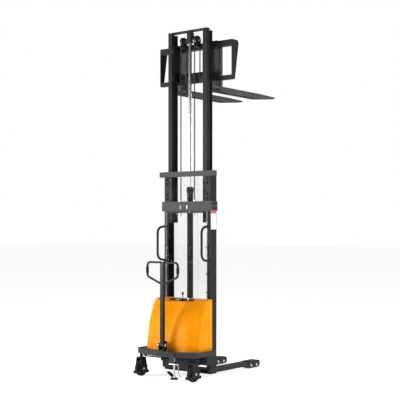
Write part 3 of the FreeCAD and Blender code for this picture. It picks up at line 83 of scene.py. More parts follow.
def noise(tree, scale, detail=3.0, stretch=None):
    spot = tree.nodes.new("ShaderNodeTexCoord")
    texture = tree.nodes.new("ShaderNodeTexNoise")
    texture.inputs["Detail"].default_value = detail
    source = spot.outputs["Object"]
    if stretch:
        squeeze = tree.nodes.new("ShaderNodeMapping")
        squeeze.inputs["Scale"].default_value = stretch
        tree.links.new(source, squeeze.inputs["Vector"])
        source = squeeze.outputs["Vector"]
    tree.links.new(source, texture.inputs["Vector"])
    feed(tree, scale, texture.inputs["Scale"])
    return texture.outputs["Fac"]


def sums(tree, kind, first, second):
    node = tree.nodes.new("ShaderNodeMath")
    node.operation = kind
    feed(tree, first, node.inputs[0])
    feed(tree, second, node.inputs[1])
    return node.outputs[0]


def ramp(tree, value, fromLow, fromHigh, toLow, toHigh):
    node = tree.nodes.new("ShaderNodeMapRange")
    for socket, number in zip(node.inputs[1:5], (fromLow, fromHigh, toLow, toHigh)):
        socket.default_value = number
    tree.links.new(value, node.inputs[0])
    return node.outputs[0]


# what a mask group gives out: its field, broken into patches, times its amount
def sendMask(tree, inside, outside, field, patches):
    mask = sums(tree, "MULTIPLY", sums(tree, "MULTIPLY", field, patches), inside.outputs["Amount"])
    tree.links.new(mask, outside.inputs["Mask"])


# bare metal showing where paint has rubbed off the corners
def buildEdgeWear():
    tree, inside, outside = newGroup(
        "edgeWear", {"Radius": 0.003, "Amount": 0.5, "Patch Scale": 18.0}, ["Mask"])
    rounded = tree.nodes.new("ShaderNodeBevel")
    rounded.samples = 4
    tree.links.new(inside.outputs["Radius"], rounded.inputs["Radius"])
    surface = tree.nodes.new("ShaderNodeNewGeometry")
    compare = tree.nodes.new("ShaderNodeVectorMath")
    compare.operation = "DOT_PRODUCT"
    tree.links.new(rounded.outputs["Normal"], compare.inputs[0])
    tree.links.new(surface.outputs["Normal"], compare.inputs[1])
    edge = ramp(tree, compare.outputs["Value"], 0.995, 0.86, 0.0, 1.0)
    patches = ramp(tree, noise(tree, inside.outputs["Patch Scale"], 5.0), 0.46, 0.62, 0.0, 1.0)
    sendMask(tree, inside, outside, edge, patches)
    return tree


# slow clouds of tone and the fine grain of the finish
def buildSurfaceGrain():
    tree, inside, outside = newGroup(
        "surfaceGrain", {"Cloud Scale": 6.0, "Grain Scale": 900.0}, ["Cloud", "Grain"])
    tree.links.new(noise(tree, inside.outputs["Cloud Scale"], 4.0), outside.inputs["Cloud"])
    tree.links.new(noise(tree, inside.outputs["Grain Scale"], 2.0), outside.inputs["Grain"])
    return tree


# workshop dust lying on faces that look up
def buildSettledDust():
    tree, inside, outside = newGroup("settledDust", {"Amount": 0.3, "Patch Scale": 9.0}, ["Mask"])
    surface = tree.nodes.new("ShaderNodeNewGeometry")
    parts = tree.nodes.new("ShaderNodeSeparateXYZ")
    tree.links.new(surface.outputs["Normal"], parts.inputs[0])
    upward = ramp(tree, parts.outputs["Z"], 0.5, 1.0, 0.0, 1.0)
    patches = ramp(tree, noise(tree, inside.outputs["Patch Scale"], 6.0), 0.35, 0.7, 0.3, 1.0)
    sendMask(tree, inside, outside, upward, patches)
    return tree


# dark grease and painted shade on the roller tracks and plates that face the middle of the truck: these faces
# are painted near-black as if in the shadow of the channels
def buildGreaseAndShade():
    tree, inside, outside = newGroup("greaseAndShade", {"Amount": 1.0, "Patch Scale": 5.0}, ["Mask"])
    surface = tree.nodes.new("ShaderNodeNewGeometry")
    facing = tree.nodes.new("ShaderNodeSeparateXYZ")
    tree.links.new(surface.outputs["Normal"], facing.inputs[0])
    place = tree.nodes.new("ShaderNodeSeparateXYZ")
    tree.links.new(surface.outputs["Position"], place.inputs[0])
    inward = sums(tree, "MULTIPLY", facing.outputs["X"], place.outputs["X"])
    inward = ramp(tree, inward, -0.02, -0.10, 0.0, 1.0)
    patches = ramp(tree, noise(tree, inside.outputs["Patch Scale"], 5.0), 0.3, 0.6, 0.75, 1.0)
    sendMask(tree, inside, outside, inward, patches)
    return tree


# drawn or turned lines along the metal
def buildDrawnLines():
    tree, inside, outside = newGroup("drawnLines", {"Line Scale": 60.0}, ["Lines"])
    lines = noise(tree, inside.outputs["Line Scale"], 4.0, stretch=(12.0, 12.0, 0.6))
    tree.links.new(lines, outside.inputs["Lines"])
    return tree


edgeWear = buildEdgeWear()
surfaceGrain = buildSurfaceGrain()
settledDust = buildSettledDust()
greaseAndShade = buildGreaseAndShade()
drawnLines = buildDrawnLines()
print("shader groups ready")


def freshMaterial(name):
    material = bpy.data.materials.new(name)
    material.use_nodes = True
    tree = material.node_tree
    shader = next(n for n in tree.nodes if n.type == "BSDF_PRINCIPLED")
    return material, tree, shader


def placeGroup(tree, group, **values):
    node = tree.nodes.new("ShaderNodeGroup")
    node.node_tree = group
    for label, number in values.items():
        node.inputs[label.replace("_", " ")].default_value = number
    return node


def blendColor(tree, mask, first, second):
    node = tree.nodes.new("ShaderNodeMix")
    node.data_type = "RGBA"
    feed(tree, mask, node.inputs[0])
    for value, socket in ((first, node.inputs[6]), (second, node.inputs[7])):
        if isinstance(value, tuple):
            socket.default_value = (*value, 1.0)
        else:
            tree.links.new(value, socket)
    return node.outputs[2]


def addBump(tree, shader, height, strength, distance):
    bump = tree.nodes.new("ShaderNodeBump")
    bump.inputs["Strength"].default_value = strength
    bump.inputs["Distance"].default_value = distance
    tree.links.new(height, bump.inputs["Height"])
    tree.links.new(bump.outputs["Normal"], shader.inputs["Normal"])


bareSteel = (0.38, 0.37, 0.36)
dustColor = (0.36, 0.34, 0.31)
# near-black of the grease and painted shade on faces towards the middle of the truck
greaseShadeColor = (0.003, 0.003, 0.003)


def shade(color, factor):
    return tuple(min(1.0, c * factor) for c in color)


# powder coat and paint: cloudy tone, fine orange peel, worn corners, dust on top
def paintedMetal(name, look):
    material, tree, shader = freshMaterial(name)
    grain = placeGroup(tree, surfaceGrain, Cloud_Scale=look["cloud"], Grain_Scale=look["peel"])
    wear = placeGroup(tree, edgeWear, Radius=look["edge"], Amount=look["wear"], Patch_Scale=look["patch"])
    dust = placeGroup(tree, settledDust, Amount=look["dust"])
    cloud = ramp(tree, grain.outputs["Cloud"], 0.3, 0.7, 0.0, 1.0)
    color = blendColor(tree, cloud, shade(look["color"], 0.84), shade(look["color"], 1.18))
    color = blendColor(tree, wear.outputs["Mask"], color, bareSteel)
    color = blendColor(tree, dust.outputs["Mask"], color, dustColor)
    # grease and painted shade: faces towards the middle of the truck are painted near-black, as if in the
    # channels' shadow
    if look.get("greaseShade"):
        greaseShade = placeGroup(tree, greaseAndShade, Amount=look["greaseShade"])
        color = blendColor(tree, greaseShade.outputs["Mask"], color, greaseShadeColor)
    tree.links.new(color, shader.inputs["Base Color"])
    tree.links.new(sums(tree, "MULTIPLY", wear.outputs["Mask"], 0.8), shader.inputs["Metallic"])
    rough = ramp(tree, grain.outputs["Cloud"], 0.3, 0.7, look["rough"] - 0.06, look["rough"] + 0.08)
    rough = sums(tree, "ADD", rough, sums(tree, "MULTIPLY", dust.outputs["Mask"], 0.4))
    tree.links.new(rough, shader.inputs["Roughness"])
    shader.inputs["Specular IOR Level"].default_value = look.get("gleam", 0.14)
    shader.inputs["Coat Weight"].default_value = look.get("coat", 0.0)
    shader.inputs["Coat Roughness"].default_value = 0.2
    addBump(tree, shader, grain.outputs["Grain"], look["bump"], 0.0006)
    return material


# steel, chrome, chain and bearing metal with drawn lines and oil
def bareMetal(name, look):
    material, tree, shader = freshMaterial(name)
    lines = placeGroup(tree, drawnLines, Line_Scale=look["lines"])
    grain = placeGroup(tree, surfaceGrain, Cloud_Scale=look["cloud"], Grain_Scale=700.0)
    soil = ramp(tree, grain.outputs["Cloud"], 0.42, 0.72, 0.0, look["soil"])
    tone = ramp(tree, lines.outputs["Lines"], 0.3, 0.7, 0.0, 1.0)
    color = blendColor(tree, tone, shade(look["color"], 0.82), shade(look["color"], 1.12))
    color = blendColor(tree, soil, color, look["oil"])
    tree.links.new(color, shader.inputs["Base Color"])
    shader.inputs["Metallic"].default_value = 1.0
    low, high = look["rough"]
    rough = ramp(tree, lines.outputs["Lines"], 0.3, 0.7, low, high)
    tree.links.new(sums(tree, "ADD", rough, sums(tree, "MULTIPLY", soil, 0.3)), shader.inputs["Roughness"])
    addBump(tree, shader, lines.outputs["Lines"], look["bump"], 0.0004)
    return material


# moulded plastic and rubber
def moulded(name, look):
    material, tree, shader = freshMaterial(name)
    grain = placeGroup(tree, surfaceGrain, Cloud_Scale=look["cloud"], Grain_Scale=look["grain"])
    wear = placeGroup(tree, edgeWear, Radius=look["edge"], Amount=look["scuff"], Patch_Scale=26.0)
    dust = placeGroup(tree, settledDust, Amount=look["dust"])
    cloud = ramp(tree, grain.outputs["Cloud"], 0.3, 0.7, 0.0, 1.0)
    color = blendColor(tree, cloud, shade(look["color"], 0.88), shade(look["color"], 1.12))
    color = blendColor(tree, wear.outputs["Mask"], color, look["worn"])
    color = blendColor(tree, dust.outputs["Mask"], color, dustColor)
    tree.links.new(color, shader.inputs["Base Color"])
    rough = ramp(tree, grain.outputs["Grain"], 0.3, 0.7, look["rough"] - 0.05, look["rough"] + 0.07)
    tree.links.new(rough, shader.inputs["Roughness"])
    shader.inputs["Specular IOR Level"].default_value = look.get("gleam", 0.16)
    addBump(tree, shader, grain.outputs["Grain"], look["bump"], 0.0005)
    return material


def clearSheet(name, look):
    material, tree, shader = freshMaterial(name)
    grain = placeGroup(tree, surfaceGrain, Cloud_Scale=look["cloud"], Grain_Scale=60.0)
    haze = ramp(tree, grain.outputs["Cloud"], 0.35, 0.7, 0.0, 1.0)
    color = blendColor(tree, haze, look["color"], shade(look["color"], 0.95))
    tree.links.new(color, shader.inputs["Base Color"])
    rough = ramp(tree, grain.outputs["Cloud"], 0.35, 0.75, 0.01, look["rough"])
    tree.links.new(rough, shader.inputs["Roughness"])
    shader.inputs["Transmission Weight"].default_value = 1.0
    shader.inputs["IOR"].default_value = look["ior"]
    return material


basePaint = {"color": (0.022, 0.022, 0.024), "rough": 0.42, "cloud": 5.0, "peel": 900.0, "bump": 0.12,
             "edge": 0.0022, "wear": 0.35, "patch": 22.0, "dust": 0.05}
steelLook = {"color": (0.58, 0.58, 0.57), "rough": (0.24, 0.38), "lines": 40.0, "cloud": 30.0,
             "soil": 0.25, "oil": (0.09, 0.08, 0.07), "bump": 0.15}
plasticLook = {"color": (0.018, 0.018, 0.019), "rough": 0.45, "cloud": 12.0, "grain": 1400.0,
               "bump": 0.2, "edge": 0.0015, "scuff": 0.35, "worn": (0.12, 0.12, 0.12), "dust": 0.12}

# what each finish changes in its plain look
paintLooks = {
    "mast_paint": {},
    # grease and painted shade: faces towards the middle are painted near-black as if in shadow
    "greased_shaded_mast": {"gleam": 0.08, "greaseShade": 0.9},
    "beam_paint": {"color": (0.056, 0.057, 0.060), "rough": 0.5},
    "frame_paint": {"color": (0.018, 0.018, 0.020), "wear": 0.6, "dust": 0.3},
    "tray_paint": {"color": (0.034, 0.034, 0.038), "wear": 0.55, "dust": 0.22},
    "cylinder_paint": {"color": (0.022, 0.022, 0.023), "rough": 0.34, "wear": 0.2},
    "fork_paint": {"color": (0.062, 0.062, 0.065), "wear": 0.9, "edge": 0.004, "dust": 0.15},
    "handle_paint": {"color": (0.007, 0.007, 0.008), "rough": 0.3, "coat": 0.1, "wear": 0.15},
    "caster_paint": {"color": (0.005, 0.005, 0.006), "rough": 0.36, "wear": 0.35, "edge": 0.0012},
    "motor_black": {"color": (0.012, 0.012, 0.012)},
}
metalLooks = {
    "bright_steel": {},
    "roller_steel": {"color": (0.27, 0.27, 0.28), "soil": 0.7},
    "chain_steel": {"color": (0.055, 0.052, 0.050), "soil": 0.85, "rough": (0.3, 0.5),
                    "oil": (0.03, 0.027, 0.024)},
    "chrome": {"color": (0.60, 0.60, 0.61), "rough": (0.16, 0.24), "soil": 0.08, "bump": 0.04},
    "black_fastener": {"color": (0.06, 0.06, 0.06), "soil": 0.4},
}
plasticLooks = {
    "cover_yellow": {"color": (0.90, 0.30, 0.002), "rough": 0.36, "cloud": 3.0, "grain": 500.0, "bump": 0.04,
                     "scuff": 0.25, "worn": (0.95, 0.55, 0.2), "gleam": 0.07, "dust": 0.01},
    "black_plastic": {},
    "battery_case": {"color": (0.022, 0.022, 0.026)},
    "greasy_nylon": {"color": (0.035, 0.033, 0.030)},
    "pale_nylon": {"color": (0.62, 0.60, 0.55), "worn": (0.3, 0.29, 0.27)},
    "hub_black": {"color": (0.010, 0.010, 0.011), "rough": 0.38},
    "load_roller": {"color": (0.05, 0.048, 0.045), "scuff": 0.6},
    "rubber_grip": {"color": (0.012, 0.012, 0.012), "rough": 0.62, "bump": 0.4},
    "rubber_pad": {"color": (0.014, 0.014, 0.014), "rough": 0.7, "bump": 0.5, "dust": 0.3},
    "tyre_black": {"color": (0.006, 0.006, 0.0065), "rough": 0.58, "bump": 0.45, "scuff": 0.6,
                   "worn": (0.07, 0.068, 0.064)},
    "label_white": {"color": (0.85, 0.85, 0.84), "rough": 0.35, "scuff": 0.1, "bump": 0.03},
    "label_red": {"color": (0.62, 0.05, 0.02), "rough": 0.35, "scuff": 0.1, "bump": 0.03},
}
finishes = {}
for make, plain, looks in ((paintedMetal, basePaint, paintLooks), (bareMetal, steelLook, metalLooks),
                           (moulded, plasticLook, plasticLooks)):
    for name, look in looks.items():
        finishes[name] = make(name, {**plain, **look})
finishes["clear_guard"] = clearSheet("clear_guard", {"color": (0.90, 0.905, 0.90), "cloud": 3.0,
                                                     "rough": 0.05, "ior": 1.04})

# parts that differ from the plain finish of their slot: greasy guide pads, and uprights and carriage with
# grease and painted shade on the faces towards the middle
soiledAndShaded = {"guide_pads": "greasy_nylon", "carriage_frame": "greased_shaded_mast",
          **{f"{stage}_upright_{side}": "greased_shaded_mast" for stage in ("outer", "inner")
             for side in ("left", "right")}}
for part in frame["record"]["subparts"]:
    painted = frame["nodes"][part["node"]]
    painted.data.materials.clear()
    painted.data.materials.append(finishes[soiledAndShaded.get(part["node"], part["material_slot"])])
print("finishes on", len(frame["nodes"]), "parts")


# a shape is a list of points and a list of faces; shapes are joined into one piece
def joined(shapes):
    points, faces = [], []
    for somePoints, someFaces in shapes:
        start = len(points)
        points.extend(somePoints)
        faces.extend(tuple(start + i for i in face) for face in someFaces)
    return points, faces


def turnTo(axis, a, b, along):
    return {"x": (along, a, b), "y": (a, along, b), "z": (a, b, along)}[axis]


def rowFaces(rows, count):
    # four-sided faces between closed rows of points, row after row
    faces = []
    for row in range(rows - 1):
        for k in range(count):
            n = (k + 1) % count
            faces.append((row * count + k, row * count + n, (row + 1) * count + n, (row + 1) * count + k))
    return faces


def lathe(profile, centre, axis, segments):
    points = []
    for radius, along in profile:
        for k in range(segments):
            angle = 2 * math.pi * k / segments
            spot = turnTo(axis, radius * math.cos(angle), radius * math.sin(angle), along)
            points.append(tuple(c + s for c, s in zip(centre, spot)))
    rows = len(profile)
    faces = rowFaces(rows, segments)
    if profile[0] != profile[-1]:
        faces.append(tuple(range(segments)))
        faces.append(tuple((rows - 1) * segments + k for k in range(segments)))
    return points, faces


def prism(outline, axis, low, high):
    count = len(outline)
    points = [turnTo(axis, a, b, low) for a, b in outline]
    points += [turnTo(axis, a, b, high) for a, b in outline]
    faces = [tuple(range(count)), tuple(range(count, 2 * count))]
    faces += [(k, (k + 1) % count, count + (k + 1) % count, count + k) for k in range(count)]
    return points, faces


def tube(path, radius, sides, closed=False):
    route = [Vector(p) for p in path]
    points = []
    lift = None
    for i, spot in enumerate(route):
        before = route[i - 1] if i or closed else spot
        after = route[(i + 1) % len(route)] if i + 1 < len(route) or closed else spot
        along = (after - before).normalized()
        if lift is None:
            lift = along.orthogonal().normalized()
        lift = (lift - along * lift.dot(along)).normalized()
        side = along.cross(lift)
        wide = radius[i] if isinstance(radius, list) else radius
        for k in range(sides):
            angle = 2 * math.pi * k / sides
            points.append(tuple(spot + lift * (wide * math.cos(angle)) + side * (wide * math.sin(angle))))
    rows = len(route)
    faces = rowFaces(rows, sides)
    if closed:
        last = (rows - 1) * sides
        faces += [(last + k, last + (k + 1) % sides, (k + 1) % sides, k) for k in range(sides)]
    else:
        faces.append(tuple(range(sides)))
        faces.append(tuple((rows - 1) * sides + k for k in range(sides)))
    return points, faces


def roundedOutline(corners, radius, steps=5):
    outline = []
    count = len(corners)
    for i, corner in enumerate(corners):
        here = Vector(corner)
        back = Vector(corners[i - 1]) - here
        ahead = Vector(corners[(i + 1) % count]) - here
        reach = min(radius, back.length * 0.45, ahead.length * 0.45)
        start = here + back.normalized() * reach
        end = here + ahead.normalized() * reach
        for k in range(steps + 1):
            t = k / steps
            outline.append(tuple(start * (1 - t) ** 2 + here * 2 * t * (1 - t) + end * t * t))
    return outline


boltHead, washerThick = 0.009, 0.0018      # usual head height, and the washer under it


def hexBolt(centre, axis, across, height, direction):
    radius = across / 2 / math.cos(math.pi / 6)
    washer = lathe([(across * 0.72, 0.0), (across * 0.72, direction * washerThick)], centre, axis, 24)
    head = lathe([(radius, direction * washerThick), (radius, direction * height * 0.85),
                  (across * 0.46, direction * height)], centre, axis, 6)
    return joined([washer, head])


def addPiece(name, shape, body, slotName, stands=(), bevel=0.0, finish=None, sharp=35.0):
    points, faces = shape
    mesh = bpy.data.meshes.new(name)
    mesh.from_pydata(points, [], faces)
    tidy = bmesh.new()
    tidy.from_mesh(mesh)
    bmesh.ops.recalc_face_normals(tidy, faces=tidy.faces)
    tidy.to_mesh(mesh)
    tidy.free()
    mesh.shade_smooth()
    mesh.set_sharp_from_angle(angle=math.radians(sharp))
    piece = bpy.data.objects.new(name, mesh)
    scene.collection.objects.link(piece)
    mesh.materials.append(finishes[finish or slotName])
    if bevel:
        soft = piece.modifiers.new("softEdges", "BEVEL")
        soft.width = bevel
        soft.segments = 2
        soft.limit_method = "ANGLE"
    if body:
        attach(piece, body)
    if stands:
        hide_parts(*stands)
    return piece


# power unit cover: straight sides, slanted corner faces and a scooped middle that fades out low down
coverLook = {
    "half": 0.340, "behind": 0.020, "topBack": 0.798, "topSlope": 0.2273, "edgeRadius": 0.011,
    "plinth": 0.085, "plinthOut": 0.004, "plinthFade": 0.006, "rows": 34, "topFront": 0.47,
    "rollSteps": 4, "lipSink": 0.002, "lipDepth": 0.030, "middle": 0.098,
    "spans": (9, 7, 8, 7, 7, 8, 7, 9), "softenings": 3, "backSpans": 12,
    # height above the tray: corner across and deep, lobe across and deep, middle deep, side's front end
    "levels": [
        (0.000, 0.242, 0.300, 0.015, 0.316, 0.316, 0.240),
        (0.070, 0.237, 0.294, 0.015, 0.312, 0.312, 0.236),
        (0.138, 0.230, 0.286, 0.018, 0.305, 0.303, 0.228),
        (0.238, 0.216, 0.268, 0.055, 0.287, 0.272, 0.212),
        (0.338, 0.193, 0.240, 0.105, 0.257, 0.230, 0.183),
        (0.418, 0.167, 0.208, 0.146, 0.218, 0.186, 0.152),
        (0.520, 0.128, 0.158, 0.118, 0.160, 0.128, 0.098),
    ],
}


def levelAt(height):
    levels = coverLook["levels"]
    index = max(i for i in range(len(levels) - 1) if levels[i][0] <= max(height, 0.0))
    below, above = levels[index], levels[index + 1]
    before = levels[max(index - 1, 0)]
    after = levels[min(index + 2, len(levels) - 1)]
    t = (height - below[0]) / (above[0] - below[0])
    values = []
    for p0, p1, p2, p3 in zip(before[1:], below[1:], above[1:], after[1:]):
        # a smooth curve through the levels
        values.append(0.5 * (2 * p1 + (p2 - p0) * t + (2 * p0 - 5 * p1 + 4 * p2 - p3) * t * t
                             + (3 * p1 - p0 - 3 * p2 + p3) * t ** 3))
    return values


def coverPlan(height):
    cornerX, cornerY, lobeX, lobeY, middleY, sideY = levelAt(height)
    half = coverLook["half"]
    right = [(half, mastFace - coverLook["behind"]), (half, mastFace - sideY),
             (cornerX, mastFace - cornerY), (lobeX, mastFace - lobeY)]
    corners = right + [(0.0, mastFace - middleY)] + [(-x, y) for x, y in reversed(right)]
    outline = []
    for i, count in enumerate(coverLook["spans"]):
        start, end = Vector(corners[i]), Vector(corners[i + 1])
        for k in range(count):
            # points gather near the creases
            t = 0.5 - 0.5 * math.cos(math.pi * k / count)
            outline.append(start.lerp(end, t))
    outline.append(Vector(corners[-1]))
    softened = list(outline)
    for _ in range(coverLook["softenings"]):
        for i in range(1, len(outline) - 1):
            softened[i] = (outline[i - 1] + outline[i] * 2 + outline[i + 1]) / 4
        outline = list(softened)
    count = coverLook["backSpans"]
    backRow = [outline[-1].lerp(outline[0], k / count) for k in range(1, count)]
    return [(p.x, p.y) for p in outline + backRow]


def topHeight(y):
    return coverLook["topBack"] - coverLook["topSlope"] * (mastFace - coverLook["behind"] - y)


dashLook = {"outline": [(-0.150, -0.060), (-0.168, -0.092), (-0.128, -0.128), (0.0, -0.138),
                        (0.128, -0.128), (0.168, -0.092), (0.150, -0.060)],
            "round": 0.014, "halfX": 0.16, "halfY": 0.039, "middle": -0.099}


def dashOutline(inset):
    scaleX = 1 - inset / dashLook["halfX"]
    scaleY = 1 - inset / dashLook["halfY"]
    middle = dashLook["middle"]
    corners = [(x * scaleX, mastFace + middle + (y - middle) * scaleY) for x, y in dashLook["outline"]]
    return roundedOutline(corners, dashLook["round"])


def rayToOutline(outline, centre, angle):
    # the point where a ray from the centre leaves the outline
    direction = Vector((math.cos(angle), math.sin(angle)))
    best = None
    for i, start in enumerate(outline):
        a = Vector(start) - centre
        b = Vector(outline[(i + 1) % len(outline)]) - centre
        edge = b - a
        cross = direction.x * edge.y - direction.y * edge.x
        if abs(cross) < 1e-12:
            continue
        along = (a.x * edge.y - a.y * edge.x) / cross
        share = (a.x * direction.y - a.y * direction.x) / cross
        if along > 0 and -1e-9 <= share <= 1 + 1e-9 and (best is None or along > best):
            best = along
    return centre + direction * best


def makeCover():
    look = coverLook
    rows = look["rows"]
    columns = len(coverPlan(0.0))
    points = []
    for row in range(rows + 1):
        share = row / rows
        for column in range(columns):
            height = share * look["topFront"]
            # the rim's height depends on where the wall stands, so it is found in a few rounds
            for _ in range(4):
                x, y = coverPlan(height)[column]
                height = share * (topHeight(y) - look["edgeRadius"] - trayTop)
            x, y = coverPlan(height)[column]
            faded = min(1.0, max(0.0, (height - look["plinth"]) / look["plinthFade"]))
            outward = Vector((x, y - mastFace + 0.1)).normalized() * look["plinthOut"] * (1 - faded)
            y = min(y + outward.y, mastFace - look["behind"])
            points.append((x + outward.x * (abs(x) < look["half"] - 0.001), y, trayTop + height))
    rim = [Vector(p) for p in points[-columns:]]
    centre = Vector((0.0, mastFace - look["middle"]))
    # round the rim over onto the sloping top
    for step in range(1, look["rollSteps"] + 1):
        turn = step / look["rollSteps"] * math.pi / 2
        inset = look["edgeRadius"] * (1 - math.cos(turn))
        rise = look["edgeRadius"] * math.sin(turn)
        for spot in rim:
            inward = (centre - spot.xy).normalized() * inset
            points.append((spot.x + inward.x, spot.y + inward.y, spot.z + rise))
    crown = [Vector(p) for p in points[-columns:]]
    hole = dashOutline(0.0)
    lip = [rayToOutline(hole, centre, math.atan2(spot.y - centre.y, spot.x - centre.x)) for spot in crown]
    for share in (0.25, 0.5, 0.75, 0.94, 1.0):
        for spot, edge in zip(crown, lip):
            flat = spot.xy.lerp(edge, share)
            sink = 0.0 if share < 1 else look["lipSink"]
            points.append((flat.x, flat.y, topHeight(flat.y) - sink))
    for edge in lip:
        points.append((edge.x, edge.y, topHeight(edge.y) - look["lipDepth"]))
    addPiece("power_cover_shell", (points, rowFaces(len(points) // columns, columns)), "root", "cover_yellow",
             stands=["power_unit_cover"], sharp=50.0)


makeCover()
print("cover shell made")


def circleSpots(centre, axis, radius, count):
    spots = []
    for k in range(count):
        angle = 2 * math.pi * k / count
        spot = turnTo(axis, radius * math.cos(angle), radius * math.sin(angle), 0.0)
        spots.append(tuple(c + s for c, s in zip(centre, spot)))
    return spots


def slab(low, high):
    return prism([(low[0], low[1]), (high[0], low[1]), (high[0], high[1]), (low[0], high[1])],
                 "z", low[2], high[2])


def mirrored(shape):
    points, faces = shape
    return [(-x, y, z) for x, y, z in points], [tuple(reversed(face)) for face in faces]


def bothSides(shape):
    return joined([shape, mirrored(shape)])


# dashboard: a black panel let into the sloping top, with a charge gauge, push buttons and a lever boot
dashTop = {"margin": 0.0006, "raise": 0.0005, "depth": 0.028, "frameWidth": 0.007, "frameHeight": 0.003,
           "gaugeAt": (-0.048, -0.100), "gaugeRadius": 0.022, "ticks": 13,
           "buttons": [(-0.106, -0.094), (-0.106, -0.112), (0.058, -0.088)], "buttonRadius": 0.0075,
           "needle": [(-0.0012, -0.003), (0.0012, -0.003), (0.009, 0.012), (0.0085, 0.0125)],
           "leverAt": (0.027, -0.104), "folds": 9, "bootFoot": 0.014, "foldTaper": 0.0011,
           "foldOut": 0.0016, "foldRise": 0.0022}


def onSlope(shape, at):
    # a shape made flat about its own origin, laid on the sloping top at a place
    lean = math.atan(coverLook["topSlope"])
    base = Vector((at[0], mastFace + at[1], topHeight(mastFace + at[1])))
    points = []
    for x, y, z in shape[0]:
        points.append((base.x + x, base.y + y * math.cos(lean) - z * math.sin(lean),
                       base.z + z * math.cos(lean) + y * math.sin(lean)))
    return points, shape[1]


def makeDash():
    look = dashTop
    outline = dashOutline(look["margin"])
    rows = [
        [(x, y, topHeight(y) - look["depth"]) for x, y in outline],
        [(x, y, topHeight(y) + look["raise"]) for x, y in outline],
        [(x, y, topHeight(y) + look["frameHeight"]) for x, y in dashOutline(look["frameWidth"] * 0.35)],
        [(x, y, topHeight(y) + look["frameHeight"]) for x, y in dashOutline(look["frameWidth"] * 0.75)],
        [(x, y, topHeight(y) - 0.002) for x, y in dashOutline(look["frameWidth"])],
    ]
    count = len(outline)
    points = [p for row in rows for p in row]
    faces = [tuple(range(4 * count, 5 * count))] + rowFaces(5, count)
    addPiece("dash_panel", (points, faces), "root", "black_plastic", stands=["dashboard"])
    r = look["gaugeRadius"]
    bore = r * 0.84
    ring = lathe([(bore, 0.0), (bore, 0.004), (r * 0.9, 0.0055), (r, 0.004), (r * 1.04, 0.0), (bore, 0.0)],
                 (0, 0, -0.002), "z", 40)
    addPiece("gauge_ring", onSlope(ring, look["gaugeAt"]), "root", "black_plastic", finish="chrome")
    dial = lathe([(bore, 0.0), (bore, 0.001), (0.0005, 0.001)], (0, 0, -0.001), "z", 40)
    addPiece("gauge_dial", onSlope(dial, look["gaugeAt"]), "root", "black_plastic", finish="label_white")
    marks = []
    for k in range(look["ticks"]):
        angle = math.radians(-30 + 240 * k / (look["ticks"] - 1))
        away = Vector((math.cos(angle), math.sin(angle), 0.0))
        across = Vector((-away.y, away.x, 0.0)) * 0.0005
        near = away * r * (0.6 if k % 3 == 0 else 0.68)
        far = away * r * 0.78
        corners = [near - across, far - across, far + across, near + across]
        marks.append(prism([(c.x, c.y) for c in corners], "z", 0.0, 0.0005))
    needle = prism(look["needle"], "z", 0.0004, 0.0011)
    addPiece("gauge_marks", onSlope(joined(marks + [needle]), look["gaugeAt"]), "root", "black_plastic",
             finish="tyre_black")
    cap = look["buttonRadius"]
    button = lathe([(cap * 1.3, -0.002), (cap * 1.3, 0.001), (cap, 0.0015), (cap, 0.004), (cap * 0.8, 0.005)],
                   (0, 0, 0), "z", 24)
    buttons = [onSlope(button, at) for at in look["buttons"]]
    addPiece("dash_buttons", joined(buttons), "root", "black_plastic", finish="rubber_grip")
    # a bellows: every other ring stands out
    folds = [(look["bootFoot"] - k * look["foldTaper"] + k % 2 * look["foldOut"],
              k * look["foldRise"] - 0.002) for k in range(look["folds"])]
    boot = onSlope(lathe(folds, (0, 0, 0), "z", 24), look["leverAt"])
    addPiece("lever_boot", boot, "root", "black_plastic", finish="rubber_grip")


makeDash()
print("dashboard made")


# leaf chain: pins with plates between them, two plates to a link, wide and narrow in turn
chainLook = {"pitch": 0.0159, "plate": 0.0021, "height": 0.0038, "pin": 0.0022, "pinHalf": 0.006,
             "wide": 0.0047, "narrow": 0.0022}


def chainLinks(spots, x):
    shapes = []
    for i in range(len(spots) - 1):
        (y0, z0), (y1, z1) = spots[i], spots[i + 1]
        along = math.atan2(z1 - z0, y1 - y0)
        outline = []
        for (cy, cz), start in (((y0, z0), along + math.pi / 2), ((y1, z1), along - math.pi / 2)):
            for k in range(5):
                angle = start + math.pi * k / 4
                outline.append((cy + chainLook["height"] * math.cos(angle),
                                cz + chainLook["height"] * math.sin(angle)))
        offset = chainLook["wide"] if i % 2 else chainLook["narrow"]
        for side in (-1, 1):
            middle = x + side * offset
            half = chainLook["plate"] / 2
            shapes.append(prism(outline, "x", middle - half, middle + half))
    pin, reach = chainLook["pin"], chainLook["pinHalf"]
    for y, z in spots[::2]:
        shapes.append(lathe([(pin, -reach), (pin, reach)], (x, y, z), "x", 6))
    return shapes


def straightRun(y, low, high):
    count = max(2, round((high - low) / chainLook["pitch"]))
    return [(y, low + (high - low) * k / count) for k in range(count + 1)]


